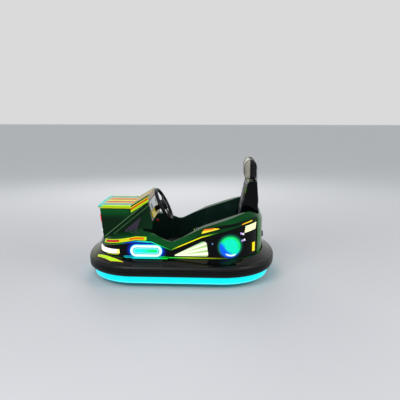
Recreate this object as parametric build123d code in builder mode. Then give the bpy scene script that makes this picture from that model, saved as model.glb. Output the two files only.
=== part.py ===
from build123d import *
import math
import os

# Battery bumper car for one rider: a round-ended bumper ring with a glowing skirt under it,
# a moulded body with lamp panels in its sides, a nose box with dash and steering wheel, a high
# bucket seat, one steered drive wheel in front and two plain wheels behind.
# Millimetres. X points to the nose, Y to the rider's left, Z up, with the floor at Z = 0.

# Overall plan
CAR_LENGTH = 1500.0
CAR_WIDTH = 1060.0
CORNER_RADIUS = 400.0
END_RADIUS = 800.0

# The car's two ends: what sits near an end is placed from it
FRONT = CAR_LENGTH / 2
REAR = -CAR_LENGTH / 2

# Bumper ring, the steel band it is bolted to and the glowing skirt
BUMPER_BOTTOM = 92.0
BUMPER_HEIGHT = 120.0
BUMPER_DEPTH = 86.0
BUMPER_LIP_DROP = 32.0
BUMPER_LIP_DEPTH = 60.0
BUMPER_FOOT_RADIUS = 26.0
GROOVE_DEPTH = 5.0
GROOVE_WIDTH = 9.0
GROOVE_HEIGHTS = (33.0, 49.0)
BAND_WALL = 4.0
BAND_MARGIN = 8.0
SKIRT_INSET = 42.0
SKIRT_WALL = 8.0
SKIRT_CLEARANCE = 34.0
SKIRT_ROUNDING = 4.8

# Chassis frame and floor
FRAME_BOTTOM = 95.0
FRAME_HEIGHT = 40.0
RAIL_WIDTH = 30.0
RAIL_Y = 230.0
RAIL_END_GAP = 150.0
CROSS_WIDTH = 40.0
CROSS_PLACES = (
    ("front", FRONT - 190.0),
    ("footwell", FRONT - 488.0),
    ("seat", REAR + 650.0),
    ("rear", REAR + 190.0),
)
PAN_WALL = 4.0

# Body mouldings
BODY_GAP = 5.0
BODY_WALL = 5.0
SPLIT_X = 48.0
BEVEL = 36.0
BEVEL_THINNING = 2.0
LIP_RAISE = 4.0
# In the side view of body and lamps, X places are shares of half the car's length
# Ridge of the body from the nose to the tail: x, z, fillet radius
RIDGE_LINE = (
    (0.96, 280.0, 0.0),
    (0.7467, 335.0, 150.0),
    (0.4133, 388.0, 300.0),
    (0.2533, 384.0, 150.0),
    (0.06, 325.0, 80.0),
    (-0.2467, 440.0, 300.0),
    (-0.6667, 548.0, 200.0),
    (-0.7867, 553.0, 60.0),
    (-0.8907, 470.0, 15.0),
    (-0.96, 470.0, 0.0),
)

# Cockpit well, half of its outline: x, distance in from the car's side, fillet radius
WELL = (
    (FRONT - 465.0, 240.0, 60.0),
    (120.0, 145.0, 60.0),
    (-60.0, 145.0, 80.0),
    (REAR + 560.0, 205.0, 80.0),
    (REAR + 134.0, 215.0, 150.0),
)
TUB_WALL = 4.0
# The tub keeps at least this far inside the lamp panels
WELL_GAP = 1.0

# Lamp windows in the body's sides
WINDOW_SILL = 214.0
# Their top edge from the nose to the tail: x, z, height of the raised lip above it
WINDOW_TOP = (
    (0.8373, 263.0, 9.0),
    (0.7467, 286.0, 9.0),
    (0.4133, 339.0, 9.0),
    (0.2533, 335.0, 9.0),
    (0.06, 276.0, 9.0),
    (-0.24, 376.0, 26.0),
    (-0.44, 418.0, 28.0),
    (-0.6267, 459.0, 13.0),
    (-0.8, 489.0, 9.0),
)
PANEL_LAP = 3.0
PANEL_WALL = 4.0
LAMP_RAISE = 4.0

# Valance that lies on the bumper's inner edge under each capsule lamp, with a step at its rear end
VALANCE_X = (0.0933, 0.5333)
VALANCE_REACH = 11.0
VALANCE_THICKNESS = 9.0
VALANCE_STEP = (16.0, 18.0)
BUMPER_CLEARANCE = 1.0

# Lamps: places and sizes as drawn from the side
CAPSULE_X = 0.3093
CAPSULE_Z = 270.0
CAPSULE_LENGTH = 240.0
CAPSULE_HEIGHT = 92.0
CAPSULE_RIM = 23.0
CAPSULE_CORE = 3.0
DISC_X = -0.5227
DISC_Z = 308.0
DISC_RADIUS = 78.0
DISC_RING = 10.0
DISC_STEP = 22.0
FAN_TIP = (0.04, 235.0)
FAN_TOP = (-0.288, 360.0)
FAN_FOOT = (-0.3093, 234.0)
FAN_RADII = (4.0, 26.0, 14.0)
FAN_RIBS = 3
FAN_RIB_SHARE = (0.28, 0.72)
FAN_RIB_RAISE = 3.0
HEADLAMP = ((0.5827, 242.0), (0.8213, 217.0), (0.8293, 250.0), (0.5867, 271.0))
HEADLAMP_TAIL = 22.0
HEADLAMP_GAP = 5.0
TAIL_LAMP = ((-0.6667, 404.0), (-0.7787, 418.0), (-0.7867, 470.0), (-0.6773, 456.0))
TAIL_SLATS = 4
TAIL_SLAT_SHARE = (0.25, 0.7)
TAIL_SLAT_RAISE = 3.0
MARKER_X = -0.7627
MARKER_Z = 280.0
MARKER_WIDTH = 20.0
MARKER_HEIGHT = 66.0

# Nose box, drawn from the side
NOSE_BASE = 300.0
NOSE_WALL = 4.0
NOSE_FRONT_X = FRONT - 154.0
NOSE_FRONT_LEAN = 32.0
NOSE_TOP = 543.0
NOSE_FLAT_X = NOSE_FRONT_X - 214.0
NOSE_REAR_TOP = (NOSE_FRONT_X - 340.0, 615.0)
NOSE_REAR_KNEE = (NOSE_FRONT_X - 383.0, 444.0)
# Half of the nose box's front view: y, z
NOSE_HALF = ((246.0, NOSE_BASE), (206.0, NOSE_TOP), (184.0, 660.0))
LID_THICKNESS = 22.0
LID_OVERHANG = 20.0
LID_TAPER = 8.0
LID_CORNER = 30.0
COWL_OVERHANG = 8.0
COWL_LOW = ((NOSE_FLAT_X, 510.0), (NOSE_FRONT_X - 350.0, 597.0))
COWL_HIGH = ((NOSE_FLAT_X, NOSE_TOP + LID_THICKNESS), (NOSE_FRONT_X - 350.0, 648.0))
# Double beam across each cheek, from the nose's foot to the cowl
BEAM_FOOT = (NOSE_FRONT_X - 6.0, 325.0)
BEAM_HEAD = (NOSE_FLAT_X - 94.0, 571.0)
BEAM_WIDTH = 21.0
BEAM_GAP = 8.0
BEAM_RAISE = 7.0
CHEEK_DEPTH = 20.0
CHEEK_MARGIN = 12.0
CHEEK_X = (NOSE_FRONT_X - 104.0, NOSE_FRONT_X - 296.0, NOSE_FRONT_X - 232.0)
CHEEK_PLATE = 5.0
CHEEK_SLATS = 4
CHEEK_SLAT_WIDTH = 7.0
CHEEK_PITCH = 18.0

# Small lamps on the nose's front face: across, up, radius
NOSE_SPOTS = ((214.0, 72.0, 9.0), (218.0, 36.0, 7.0))
NOSE_STRIP = (198.0, 164.0)
NOSE_STRIP_SIZE = (62.0, 16.0)
NOSE_LAMP_RAISE = 9.0

# Dash and its controls: across and up the dash
DASH_WIDTH = 312.0
DASH_HEIGHT = 136.0
DASH_FOOT = 8.0
DASH_CORNER = 22.0
DASH_THICKNESS = 6.0
SWITCH_PLACES = ((60.0, 25.0), (96.0, 25.0))
SWITCH_RADIUS = 11.0
SWITCH_BASE = 7.0
SWITCH_LEVER = (16.0, 7.0)
SWITCH_RISE = 9.0
BUTTON_Y = -60.0
BUTTON_Z = 386.0
BUTTON_RADIUS = 12.0
BUTTON_CAP = 8.0

# Steering wheel and column
WHEEL_CENTRE = (NOSE_FRONT_X - 448.0, 0.0, 536.0)
COLUMN_TILT = 27.0
RIM_RADIUS = 134.0
RIM_TUBE = 12.0
HUB_RADIUS = 44.0
HUB_ROUNDING = 6.0
SPOKES = 3
SPOKE_WIDTH = 34.0
SPOKE_WALL = 10.0
SPOKE_ROUNDING = 4.0
COLUMN_RADIUS = 20.0
SHAFT_RADIUS = 11.0
RUNNING_GAP = 0.05
COLUMN_START = 34.0
COLUMN_END = 124.0
SHAFT_SHORTFALL = 6.0

# Bucket seat: side view of its back, from the tail
SEAT_HALF = 190.0
SEAT_BASE_TOP = 235.0
SEAT_SKIN = 10.0
SEAT_WING = 12.0
SEAT_REAR = REAR + 140.0
SEAT_FRONT = SEAT_REAR + 540.0
SEAT_FOOT_X = SEAT_REAR + 70.0
SEAT_BULGE_Z = 610.0
SEAT_KINK = (SEAT_REAR + 10.0, 480.0)
SEAT_TOP = (SEAT_REAR + 12.0, 758.0)
WING_SHOULDER = (SEAT_REAR + 84.0, 752.0)
WING_WAIST = (SEAT_REAR + 138.0, 505.0)
WING_HIP = (SEAT_REAR + 190.0, 352.0)
WING_LAP = (SEAT_FRONT - 120.0, 300.0)
WING_TIP = (SEAT_FRONT - 24.0, 272.0)
SHELL_RADII = (0.0, 30.0, 60.0, 80.0, 0.0, 20.0, 200.0, 60.0, 120.0, 20.0, 0.0)
HOLLOW_RADII = (0.0, 20.0, 50.0, 70.0, 0.0, 0.0, 0.0)
CUSHION_HEIGHT = 60.0
CUSHION_FALL = 12.0
CUSHION_SETBACK = 6.0
CUSHION_START = 28.0
CUSHION_RADII = (10.0, 26.0, 10.0, 4.0)
CUSHION_ROUNDING = 10.0
PAD_RADII = (10.0, 60.0, 14.0, 10.0, 6.0, 68.0, 48.0, 6.0)
PAD_RECESS = 8.0
SOFT_GAP = 0.3
HEADREST_HALF = 128.0
# Front of the headrest, from its foot to its crown: x from the seat's rear, z, fillet radius
HEADREST_FRONT = ((106.0, 767.0, 14.0), (110.0, 880.0, 44.0), (80.0, 921.0, 16.0), (40.0, 921.0, 18.0))
HEADREST_SHOULDER = 34.0
HEADREST_BACK_RADII = (30.0, 12.0)
STRAP_FOOT_Z = 690.0
STRAP_TOP_Z = 866.0
STRAP_WALL = 5.0
STRAP_WIDTH = 32.0
STRAP_Y = 70.0

# Seat riser over the battery
RISER_MARGIN = 6.0
RISER_RAKE = (20.0, 10.0)
RISER_WALL = 4.0

# Pedal plate on the footwell floor
PEDAL_X = (FRONT - 600.0, FRONT - 488.0)
PEDAL_Y = -115.0
PEDAL_WIDTH = 90.0
PEDAL_RISE = 43.0
PEDAL_WALL = 8.0

# Drive unit in front
DRIVE_X = FRONT - 330.0
DRIVE_RADIUS = 100.0
DRIVE_HUB_RADIUS = 68.0
DRIVE_TYRE_WIDTH = 50.0
DRIVE_HUB_WIDTH = 60.0
DRIVE_HOLE_GAP = 26.0
AXLE_RADIUS = 10.0
FORK_GAP = 76.0
FORK_LEG = 10.0
FORK_LEG_WIDTH = 50.0
FORK_TAPER = 6.0
CROWN_BOTTOM = 214.0
CROWN_THICKNESS = 12.0
CROWN_RADIUS = 60.0
STEM_RADIUS = 15.0
NUT_RADIUS = 24.0
NUT_HEIGHT = 12.0
BRIDGE_TOP = 262.0
BRIDGE_PLATE = 12.0
BRIDGE_WIDTH = 80.0
BRIDGE_CORNER = 30.0
HOUSING_RADIUS = 34.0
HOUSING_LENGTH = 50.0
HOUSING_DROP = 8.0

# Rear wheels
REAR_X = REAR + 330.0
REAR_Y = CAR_WIDTH / 2 - 180.0
REAR_RADIUS = 80.0
REAR_RIM_RADIUS = 50.0
REAR_WIDTH = 45.0
REAR_RIM_EXTRA = 5.0
REAR_HOLE_GAP = 10.0
REAR_HOLE_SHORT = 10.0
COLLAR_RADIUS = 16.0
COLLAR_WIDTH = 8.0

# Battery block and its tray
BATTERY_X = (REAR + 350.0, REAR + 515.0)
BATTERY_CLEARANCE = 5.0
BATTERY_HEIGHT = 170.0
BATTERY_ROUNDING = 6.0
BATTERY_END_GAP = 1.0
TRAY_WALL = 3.0
TRAY_BOTTOM = 56.0

# Charging socket in the tail
SOCKET_Z = 300.0
SOCKET_RADIUS = 24.0
SOCKET_BORE = 9.0
SOCKET_BORE_DEPTH = 7.2
SOCKET_STAND = 9.0

# Sizes that follow from the ones above
HALF_WIDTH = CAR_WIDTH / 2
END_X = CAR_LENGTH / 2 - END_RADIUS
CORNER_Y = HALF_WIDTH - CORNER_RADIUS
CORNER_X = END_X + math.sqrt((END_RADIUS - CORNER_RADIUS) ** 2 - CORNER_Y**2)
BLEND_ANGLE = math.degrees(math.atan2(CORNER_Y, CORNER_X - END_X))
BAND_INSET = BUMPER_DEPTH + BAND_WALL
BODY_INSET = BAND_INSET + BODY_GAP
PANEL_INSET = BODY_INSET + BODY_WALL
LAMP_INSET = BODY_INSET - LAMP_RAISE
BUMPER_TOP = BUMPER_BOTTOM + BUMPER_HEIGHT
FRAME_TOP = FRAME_BOTTOM + FRAME_HEIGHT
FLOOR_TOP = FRAME_TOP + PAN_WALL
BATTERY_HALF = SEAT_HALF - BATTERY_CLEARANCE
TRAY_HALF = RAIL_Y - RAIL_WIDTH / 2
BATTERY_MID = sum(BATTERY_X) / 2
BATTERY_LENGTH = BATTERY_X[1] - BATTERY_X[0]
REACH = CAR_LENGTH
RIDGE = tuple((x * FRONT, z, radius) for x, z, radius in RIDGE_LINE)

os.makedirs("parts", exist_ok=True)


def save(piece, name):
    """Labels a finished piece and writes it."""
    piece.part.label = name
    export_step(piece.part, f"parts/{name}.step")


def plan_arcs(inset):
    """Draws the car's closed plan outline, moved in by inset."""
    corner = CORNER_RADIUS - inset
    end = END_RADIUS - inset
    for sign, turn in ((1, 0), (-1, 180)):
        CenterArc((sign * CORNER_X, sign * CORNER_Y), corner, turn + BLEND_ANGLE, 90 - BLEND_ANGLE)
        CenterArc((sign * END_X, 0), end, turn - BLEND_ANGLE, 2 * BLEND_ANGLE)
        CenterArc((sign * CORNER_X, -sign * CORNER_Y), corner, turn - 90, 90 - BLEND_ANGLE)
        side = sign * (CORNER_Y + corner)
        Line((sign * CORNER_X, side), (-sign * CORNER_X, side))


def plan_sketch(inset, height):
    """The plan outline moved in by inset, as a face at a height."""
    with BuildSketch(Plane.XY.offset(height)) as sketch:
        with BuildLine():
            plan_arcs(inset)
        make_face()
    return sketch.sketch


def side_sketch(points, radii=None):
    """A face in side view from x, z points, standing at the left end of the reach."""
    with BuildSketch(Plane.XZ.offset(-REACH)) as sketch:
        with BuildLine():
            if radii:
                FilletPolyline(*points, radius=radii, close=True)
            else:
                Polyline(*points, close=True)
        make_face()
    return sketch.sketch


def ring(outer_inset, inner_inset, bottom, top):
    """A wall that follows the plan between two insets and two heights."""
    with BuildPart() as wall:
        extrude(to_extrude=plan_sketch(outer_inset, bottom), amount=top - bottom)
        extrude(to_extrude=plan_sketch(inner_inset, bottom), amount=top - bottom, mode=Mode.SUBTRACT)
    return wall.part


def side_bar(points, radii=None):
    """A bar of the side view outline that runs across the whole car."""
    with BuildPart() as bar:
        extrude(to_extrude=side_sketch(points, radii), amount=2 * REACH)
    return bar.part


def wide_bar(points, half, radii=None):
    """A bar of the side view outline, as wide as twice half."""
    with BuildPart() as bar:
        with BuildSketch(Plane.XZ.offset(-half)):
            with BuildLine():
                if radii:
                    FilletPolyline(*points, radius=radii, close=True)
                else:
                    Polyline(*points, close=True)
            make_face()
        extrude(amount=2 * half)
    return bar.part


def on_skin(shape, outer_inset, inner_inset):
    """Both sides' pieces of a side view bar where it crosses the body's skin."""
    with BuildPart() as pieces:
        add(ring(outer_inset, inner_inset, FLOOR_TOP, REACH))
        add(shape, mode=Mode.INTERSECT)
    return pieces.part


def stripe(foot, head, low, high):
    """Four x, z points of a stripe along foot to head, from low to high square to it."""
    run = head[0] - foot[0]
    rise = head[1] - foot[1]
    length = math.hypot(run, rise)
    across = (-rise / length, run / length)
    if across[1] < 0:
        across = (-across[0], -across[1])
    corners = ((foot, low), (head, low), (head, high), (foot, high))
    return [(x + across[0] * step, z + across[1] * step) for (x, z), step in corners]


def between(start, end, share):
    """The x, z point at a share of the way from start to end."""
    return (start[0] + (end[0] - start[0]) * share, start[1] + (end[1] - start[1]) * share)


def placed(points):
    """Side view points with their X shares turned into places along the car."""
    return [(x * FRONT, z) for x, z in points]


def body_form(inset, drop, bevel):
    """The bodywork's outer form, moved in by inset and down by drop, with its bevelled rim."""
    points = [(RIDGE[0][0], FLOOR_TOP)]
    points += [(x, z - drop) for x, z, radius in RIDGE]
    points += [(RIDGE[-1][0], FLOOR_TOP)]
    radii = [0.0] + [radius for x, z, radius in RIDGE] + [0.0]
    with BuildPart() as form:
        extrude(to_extrude=plan_sketch(inset, FLOOR_TOP), amount=REACH)
        extrude(to_extrude=side_sketch(points, radii), amount=2 * REACH, mode=Mode.INTERSECT)
        rim = form.edges().filter_by(lambda edge: edge.center().Z > FLOOR_TOP + bevel)
        rim = rim.filter_by(Axis.Y, reverse=True).filter_by(Axis.Z, reverse=True)
        chamfer(rim, length=bevel)
    return form.part


def well_sketch(grow, height):
    """The cockpit well's outline, grown by the tub's wall where it is asked for."""
    half = [(x, CAR_WIDTH / 2 - y) for x, y, radius in WELL]
    radii = [radius for x, y, radius in WELL]
    points = half + [(x, -y) for x, y in reversed(half)]
    with BuildSketch(Plane.XY.offset(height)) as sketch:
        with BuildLine():
            FilletPolyline(*points, radius=radii + radii[::-1], close=True)
        make_face()
        well_inset = PANEL_INSET + PANEL_WALL + WELL_GAP + TUB_WALL
        add(plan_sketch(well_inset, height), mode=Mode.INTERSECT)
        if grow:
            offset(amount=grow)
    return sketch.sketch


def ridge_height(x):
    """Height of the ridge line at x, before its corners are rounded."""
    for (x_front, z_front, _), (x_back, z_back, _) in zip(RIDGE, RIDGE[1:]):
        if x_back <= x <= x_front:
            return z_front + (z_back - z_front) * (x_front - x) / (x_front - x_back)
    return RIDGE[-1][1]


# Bumper ring: one profile carried round half the plan, then mirrored
bumper_inner = HALF_WIDTH - BUMPER_DEPTH
with BuildLine() as bumper_path:
    corner = CORNER_RADIUS - BUMPER_DEPTH
    end = END_RADIUS - BUMPER_DEPTH
    Line((0, bumper_inner), (CORNER_X, bumper_inner))
    CenterArc((CORNER_X, CORNER_Y), corner, 90, BLEND_ANGLE - 90)
    CenterArc((END_X, 0), end, BLEND_ANGLE, -2 * BLEND_ANGLE)
    CenterArc((CORNER_X, -CORNER_Y), corner, -BLEND_ANGLE, BLEND_ANGLE - 90)
    Line((CORNER_X, -bumper_inner), (0, -bumper_inner))

with BuildPart() as bumper:
    foot_top = BUMPER_BOTTOM + BUMPER_FOOT_RADIUS
    foot_depth = BUMPER_DEPTH - BUMPER_FOOT_RADIUS
    crown_start = BUMPER_BOTTOM + GROOVE_HEIGHTS[-1] + GROOVE_WIDTH
    crown_end = BUMPER_TOP - BUMPER_LIP_DROP
    groove_step = GROOVE_WIDTH / 3
    with BuildSketch(Plane(origin=(0, bumper_inner, 0), x_dir=(0, 1, 0), z_dir=(1, 0, 0))):
        with BuildLine():
            start = Line((0, BUMPER_BOTTOM), (foot_depth, BUMPER_BOTTOM))
            foot = RadiusArc(start @ 1, (BUMPER_DEPTH, foot_top), -BUMPER_FOOT_RADIUS)
            face = [foot @ 1]
            for height in GROOVE_HEIGHTS:
                low = BUMPER_BOTTOM + height
                face.append((BUMPER_DEPTH, low))
                face.append((BUMPER_DEPTH - GROOVE_DEPTH, low + groove_step))
                face.append((BUMPER_DEPTH - GROOVE_DEPTH, low + 2 * groove_step))
                face.append((BUMPER_DEPTH, low + GROOVE_WIDTH))
            Polyline(*face)
            crown = TangentArc((BUMPER_DEPTH, crown_start), (BUMPER_LIP_DEPTH, crown_end), tangent=(0, 1))
            Line(crown @ 1, (0, BUMPER_TOP))
            Line((0, BUMPER_TOP), (0, BUMPER_BOTTOM))
        make_face()
    sweep(path=bumper_path.wires()[0])
    mirror(about=Plane.YZ)
save(bumper, "bumper")

# Steel band behind the bumper, which ties it to the frame
with BuildPart() as bumper_band:
    add(ring(BUMPER_DEPTH, BAND_INSET, FRAME_BOTTOM, BUMPER_TOP - BAND_MARGIN))
save(bumper_band, "bumper_band")

# Glowing skirt under the bumper
with BuildPart() as glow_skirt:
    add(ring(SKIRT_INSET, SKIRT_INSET + SKIRT_WALL, SKIRT_CLEARANCE, BUMPER_BOTTOM))
    foot_edges = glow_skirt.faces().sort_by(Axis.Z)[0].outer_wire().edges()
    fillet(foot_edges, radius=SKIRT_ROUNDING)
save(glow_skirt, "glow_skirt")

# Frame rails, each with the lug that carries the rear axle
lug_low = REAR_RADIUS - 2 * AXLE_RADIUS
for side, sign in (("left", 1), ("right", -1)):
    with BuildPart() as rail:
        with BuildSketch(Plane.XZ.offset(-sign * RAIL_Y)):
            with Locations((0, FRAME_BOTTOM + FRAME_HEIGHT / 2)):
                Rectangle(CAR_LENGTH - 2 * RAIL_END_GAP, FRAME_HEIGHT)
            with BuildLine():
                Polyline(
                    (REAR_X - FRAME_HEIGHT, FRAME_BOTTOM),
                    (REAR_X - AXLE_RADIUS * 2, lug_low),
                    (REAR_X + AXLE_RADIUS * 2, lug_low),
                    (REAR_X + FRAME_HEIGHT, FRAME_BOTTOM),
                    close=True,
                )
            make_face()
            with Locations((REAR_X, REAR_RADIUS)):
                Circle(AXLE_RADIUS, mode=Mode.SUBTRACT)
        extrude(amount=RAIL_WIDTH / 2, both=True)
    save(rail, f"frame_rail_{side}")

# Cross members from band to band, cut where the rails run through
for name, place in CROSS_PLACES:
    with BuildPart() as cross:
        with BuildSketch(Plane.XY.offset(FRAME_BOTTOM)):
            with Locations((place, 0)):
                Rectangle(CROSS_WIDTH, CAR_WIDTH)
            with Locations((place, RAIL_Y), (place, -RAIL_Y)):
                Rectangle(CROSS_WIDTH, RAIL_WIDTH, mode=Mode.SUBTRACT)
        extrude(amount=FRAME_HEIGHT)
        extrude(to_extrude=plan_sketch(BAND_INSET, FRAME_BOTTOM), amount=FRAME_HEIGHT, mode=Mode.INTERSECT)
    save(cross, f"cross_member_{name}")

# Floor pan, open over the wheels and the battery tray
with BuildPart() as floor_pan:
    extrude(to_extrude=plan_sketch(BAND_INSET, FRAME_TOP), amount=PAN_WALL)
    with BuildSketch(Plane.XY.offset(FRAME_TOP)):
        with Locations((DRIVE_X, 0)):
            Rectangle(2 * (DRIVE_RADIUS + DRIVE_HOLE_GAP), 2 * (DRIVE_RADIUS + DRIVE_HOLE_GAP))
        with Locations((REAR_X, REAR_Y), (REAR_X, -REAR_Y)):
            Rectangle(2 * (REAR_RADIUS - REAR_HOLE_SHORT), REAR_WIDTH + 2 * REAR_HOLE_GAP)
        with Locations((BATTERY_MID, 0)):
            Rectangle(BATTERY_LENGTH + 2 * TRAY_WALL, 2 * TRAY_HALF)
    extrude(amount=PAN_WALL, mode=Mode.SUBTRACT)
save(floor_pan, "floor_pan")

# Body mouldings: a raised lip runs along the windows' top edge, and a valance along the bumper
window_line = [(x * FRONT, z) for x, z, lip in WINDOW_TOP]
lip_line = [(x * FRONT, z + lip) for x, z, lip in WINDOW_TOP]
window_points = [(window_line[-1][0], WINDOW_SILL), (window_line[0][0], WINDOW_SILL)] + window_line
lip_points = lip_line + window_line[::-1]
valance_low = BUMPER_TOP + BUMPER_CLEARANCE
valance_rear, valance_front = (x * FRONT for x in VALANCE_X)
step_length, step_height = VALANCE_STEP
with BuildPart() as valance:
    for length, height in ((valance_front - valance_rear, VALANCE_THICKNESS), (step_length, step_height)):
        with BuildPart(mode=Mode.PRIVATE) as strip:
            add(ring(BODY_INSET - VALANCE_REACH, BODY_INSET, valance_low, valance_low + height))
            with BuildSketch(Plane.XY.offset(valance_low)):
                with Locations((valance_rear + length / 2, 0)):
                    Rectangle(length, CAR_WIDTH)
            extrude(amount=height, mode=Mode.INTERSECT)
        add(strip.part)

outer_form = body_form(BODY_INSET, 0, BEVEL)
inner_form = body_form(PANEL_INSET, BODY_WALL, BEVEL - BEVEL_THINNING)
with BuildPart() as body_hull:
    add(outer_form)
    add(on_skin(side_bar(lip_points), BODY_INSET - LIP_RAISE, BODY_INSET))
    add(inner_form, mode=Mode.SUBTRACT)
    extrude(to_extrude=well_sketch(0, FLOOR_TOP), amount=REACH, mode=Mode.SUBTRACT)
    add(on_skin(side_bar(window_points), BUMPER_DEPTH, PANEL_INSET), mode=Mode.SUBTRACT)
    add(valance.part)

for name, keep in (("front_body", Keep.TOP), ("rear_body", Keep.BOTTOM)):
    with BuildPart() as moulding:
        add(body_hull.part)
        split(bisect_by=Plane.YZ.offset(SPLIT_X), keep=keep)
    save(moulding, name)

# Gloss panels behind the windows, one on each side
with BuildPart() as panel_pair:
    with BuildSketch(Plane.XZ.offset(-REACH)):
        with BuildLine():
            Polyline(*window_points, close=True)
        make_face()
        offset(amount=PANEL_LAP, kind=Kind.INTERSECTION)
    extrude(amount=2 * REACH)
    add(ring(PANEL_INSET, PANEL_INSET + PANEL_WALL, FLOOR_TOP, REACH), mode=Mode.INTERSECT)
for side, panel in zip(("right", "left"), panel_pair.solids().sort_by(Axis.Y)):
    with BuildPart() as lamp_panel:
        add(panel)
    save(lamp_panel, f"lamp_panel_{side}")

# Cockpit tub, its walls carried up to the underside of the body
with BuildPart() as cockpit_tub:
    extrude(to_extrude=well_sketch(TUB_WALL, FLOOR_TOP), amount=REACH)
    extrude(to_extrude=well_sketch(0, FLOOR_TOP), amount=REACH, mode=Mode.SUBTRACT)
    add(inner_form, mode=Mode.INTERSECT)
save(cockpit_tub, "cockpit_tub")


# Lamps, seated on the panels and following their curve
def slot_bar(length, height):
    """A bar of the capsule lamp's outline, across the whole car."""
    with BuildPart() as bar:
        with BuildSketch(Plane.XZ.offset(-REACH)):
            with Locations((CAPSULE_X * FRONT, CAPSULE_Z)):
                SlotOverall(length, height)
        extrude(amount=2 * REACH)
    return bar.part


def disc_bar(radius):
    """A bar of the disc lamp's outline, across the whole car."""
    with BuildPart() as bar:
        with BuildSketch(Plane.XZ.offset(-REACH)):
            with Locations((DISC_X * FRONT, DISC_Z)):
                Circle(radius)
        extrude(amount=2 * REACH)
    return bar.part


core_length = CAPSULE_LENGTH - 2 * CAPSULE_RIM
core_height = CAPSULE_HEIGHT - 2 * CAPSULE_RIM
trough_grow = 2 * CAPSULE_CORE
with BuildPart() as capsule_lamps:
    add(on_skin(slot_bar(CAPSULE_LENGTH, CAPSULE_HEIGHT), LAMP_INSET, PANEL_INSET))
    add(on_skin(slot_bar(core_length + trough_grow, core_height + trough_grow), BUMPER_DEPTH, BODY_INSET),
        mode=Mode.SUBTRACT)
    add(on_skin(slot_bar(core_length, core_height), LAMP_INSET, BODY_INSET))
save(capsule_lamps, "capsule_lamps")

with BuildPart() as disc_lamps:
    add(on_skin(disc_bar(DISC_RADIUS), BODY_INSET, PANEL_INSET))
    add(on_skin(disc_bar(DISC_RADIUS - DISC_STEP), BODY_INSET - LAMP_RAISE / 2, BODY_INSET))
    add(on_skin(disc_bar(DISC_RADIUS - 2 * DISC_STEP), LAMP_INSET, BODY_INSET))
save(disc_lamps, "disc_lamps")

with BuildPart() as disc_rings:
    add(on_skin(disc_bar(DISC_RADIUS + DISC_RING), LAMP_INSET, PANEL_INSET))
    add(disc_bar(DISC_RADIUS), mode=Mode.SUBTRACT)
save(disc_rings, "disc_rings")

# Fan lamps: ribs spread from the tip to the wide end
fan_tip, fan_top, fan_foot = placed((FAN_TIP, FAN_TOP, FAN_FOOT))
fan_bar = side_bar((fan_tip, fan_top, fan_foot), FAN_RADII)
rib_start, rib_end = FAN_RIB_SHARE
with BuildPart() as fan_lamps:
    add(on_skin(fan_bar, LAMP_INSET, PANEL_INSET))
    for index in range(FAN_RIBS):
        rib_low = between(fan_foot, fan_top, (index + rib_start) / FAN_RIBS)
        rib_high = between(fan_foot, fan_top, (index + rib_end) / FAN_RIBS)
        with BuildPart(mode=Mode.PRIVATE) as rib:
            add(on_skin(side_bar((fan_tip, rib_high, rib_low)), LAMP_INSET - FAN_RIB_RAISE, BODY_INSET))
            add(fan_bar, mode=Mode.INTERSECT)
        add(rib.part)
save(fan_lamps, "fan_lamps")

# Headlamps, each with a small square segment behind the long one
with BuildPart() as headlamps:
    add(on_skin(side_bar(placed(HEADLAMP)), LAMP_INSET, PANEL_INSET))
    cut_front = HEADLAMP[0][0] * FRONT + HEADLAMP_TAIL
    gap_points = (
        (cut_front, WINDOW_SILL),
        (cut_front, CAPSULE_Z + CAPSULE_HEIGHT),
        (cut_front + HEADLAMP_GAP, CAPSULE_Z + CAPSULE_HEIGHT),
        (cut_front + HEADLAMP_GAP, WINDOW_SILL),
    )
    add(on_skin(side_bar(gap_points), BUMPER_DEPTH, BODY_INSET), mode=Mode.SUBTRACT)
save(headlamps, "headlamps")

# Tail lamps with slats along them
low_front, low_rear, high_rear, high_front = placed(TAIL_LAMP)
slat_start, slat_end = TAIL_SLAT_SHARE
with BuildPart() as tail_lamps:
    add(on_skin(side_bar((low_front, low_rear, high_rear, high_front)), LAMP_INSET, PANEL_INSET))
    for index in range(TAIL_SLATS):
        low_share = (index + slat_start) / TAIL_SLATS
        high_share = (index + slat_end) / TAIL_SLATS
        slat_points = (
            between(low_front, high_front, low_share),
            between(low_rear, high_rear, low_share),
            between(low_rear, high_rear, high_share),
            between(low_front, high_front, high_share),
        )
        add(on_skin(side_bar(slat_points), LAMP_INSET - TAIL_SLAT_RAISE, BODY_INSET))
save(tail_lamps, "tail_lamps")

with BuildPart() as marker_lamps:
    marker_half = MARKER_WIDTH / 2
    marker_points = stripe(
        (MARKER_X * FRONT, MARKER_Z - MARKER_HEIGHT / 2),
        (MARKER_X * FRONT, MARKER_Z + MARKER_HEIGHT / 2),
        -marker_half,
        marker_half,
    )
    add(on_skin(side_bar(marker_points), LAMP_INSET, PANEL_INSET))
save(marker_lamps, "marker_lamps")

# Nose box
nose_points = (
    (NOSE_FRONT_X, NOSE_BASE),
    (NOSE_FRONT_X + NOSE_FRONT_LEAN, NOSE_TOP),
    (NOSE_FLAT_X, NOSE_TOP),
    NOSE_REAR_TOP,
    NOSE_REAR_KNEE,
    (NOSE_REAR_KNEE[0], NOSE_BASE),
)
cowl_points = (COWL_LOW[0], COWL_HIGH[0], COWL_HIGH[1], COWL_LOW[1])
cheek_drop = 2 * BEAM_WIDTH + BEAM_GAP + CHEEK_MARGIN
cheek_front, cheek_head, cheek_foot = CHEEK_X
cheek_line = stripe(BEAM_FOOT, BEAM_HEAD, -cheek_drop, 0)
cheek_rise = (cheek_line[1][1] - cheek_line[0][1]) / (cheek_line[0][0] - cheek_line[1][0])
cheek_low = cheek_line[0][1] + cheek_rise * (cheek_line[0][0] - cheek_front)
cheek_high = cheek_line[0][1] + cheek_rise * (cheek_line[0][0] - cheek_head)
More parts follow.
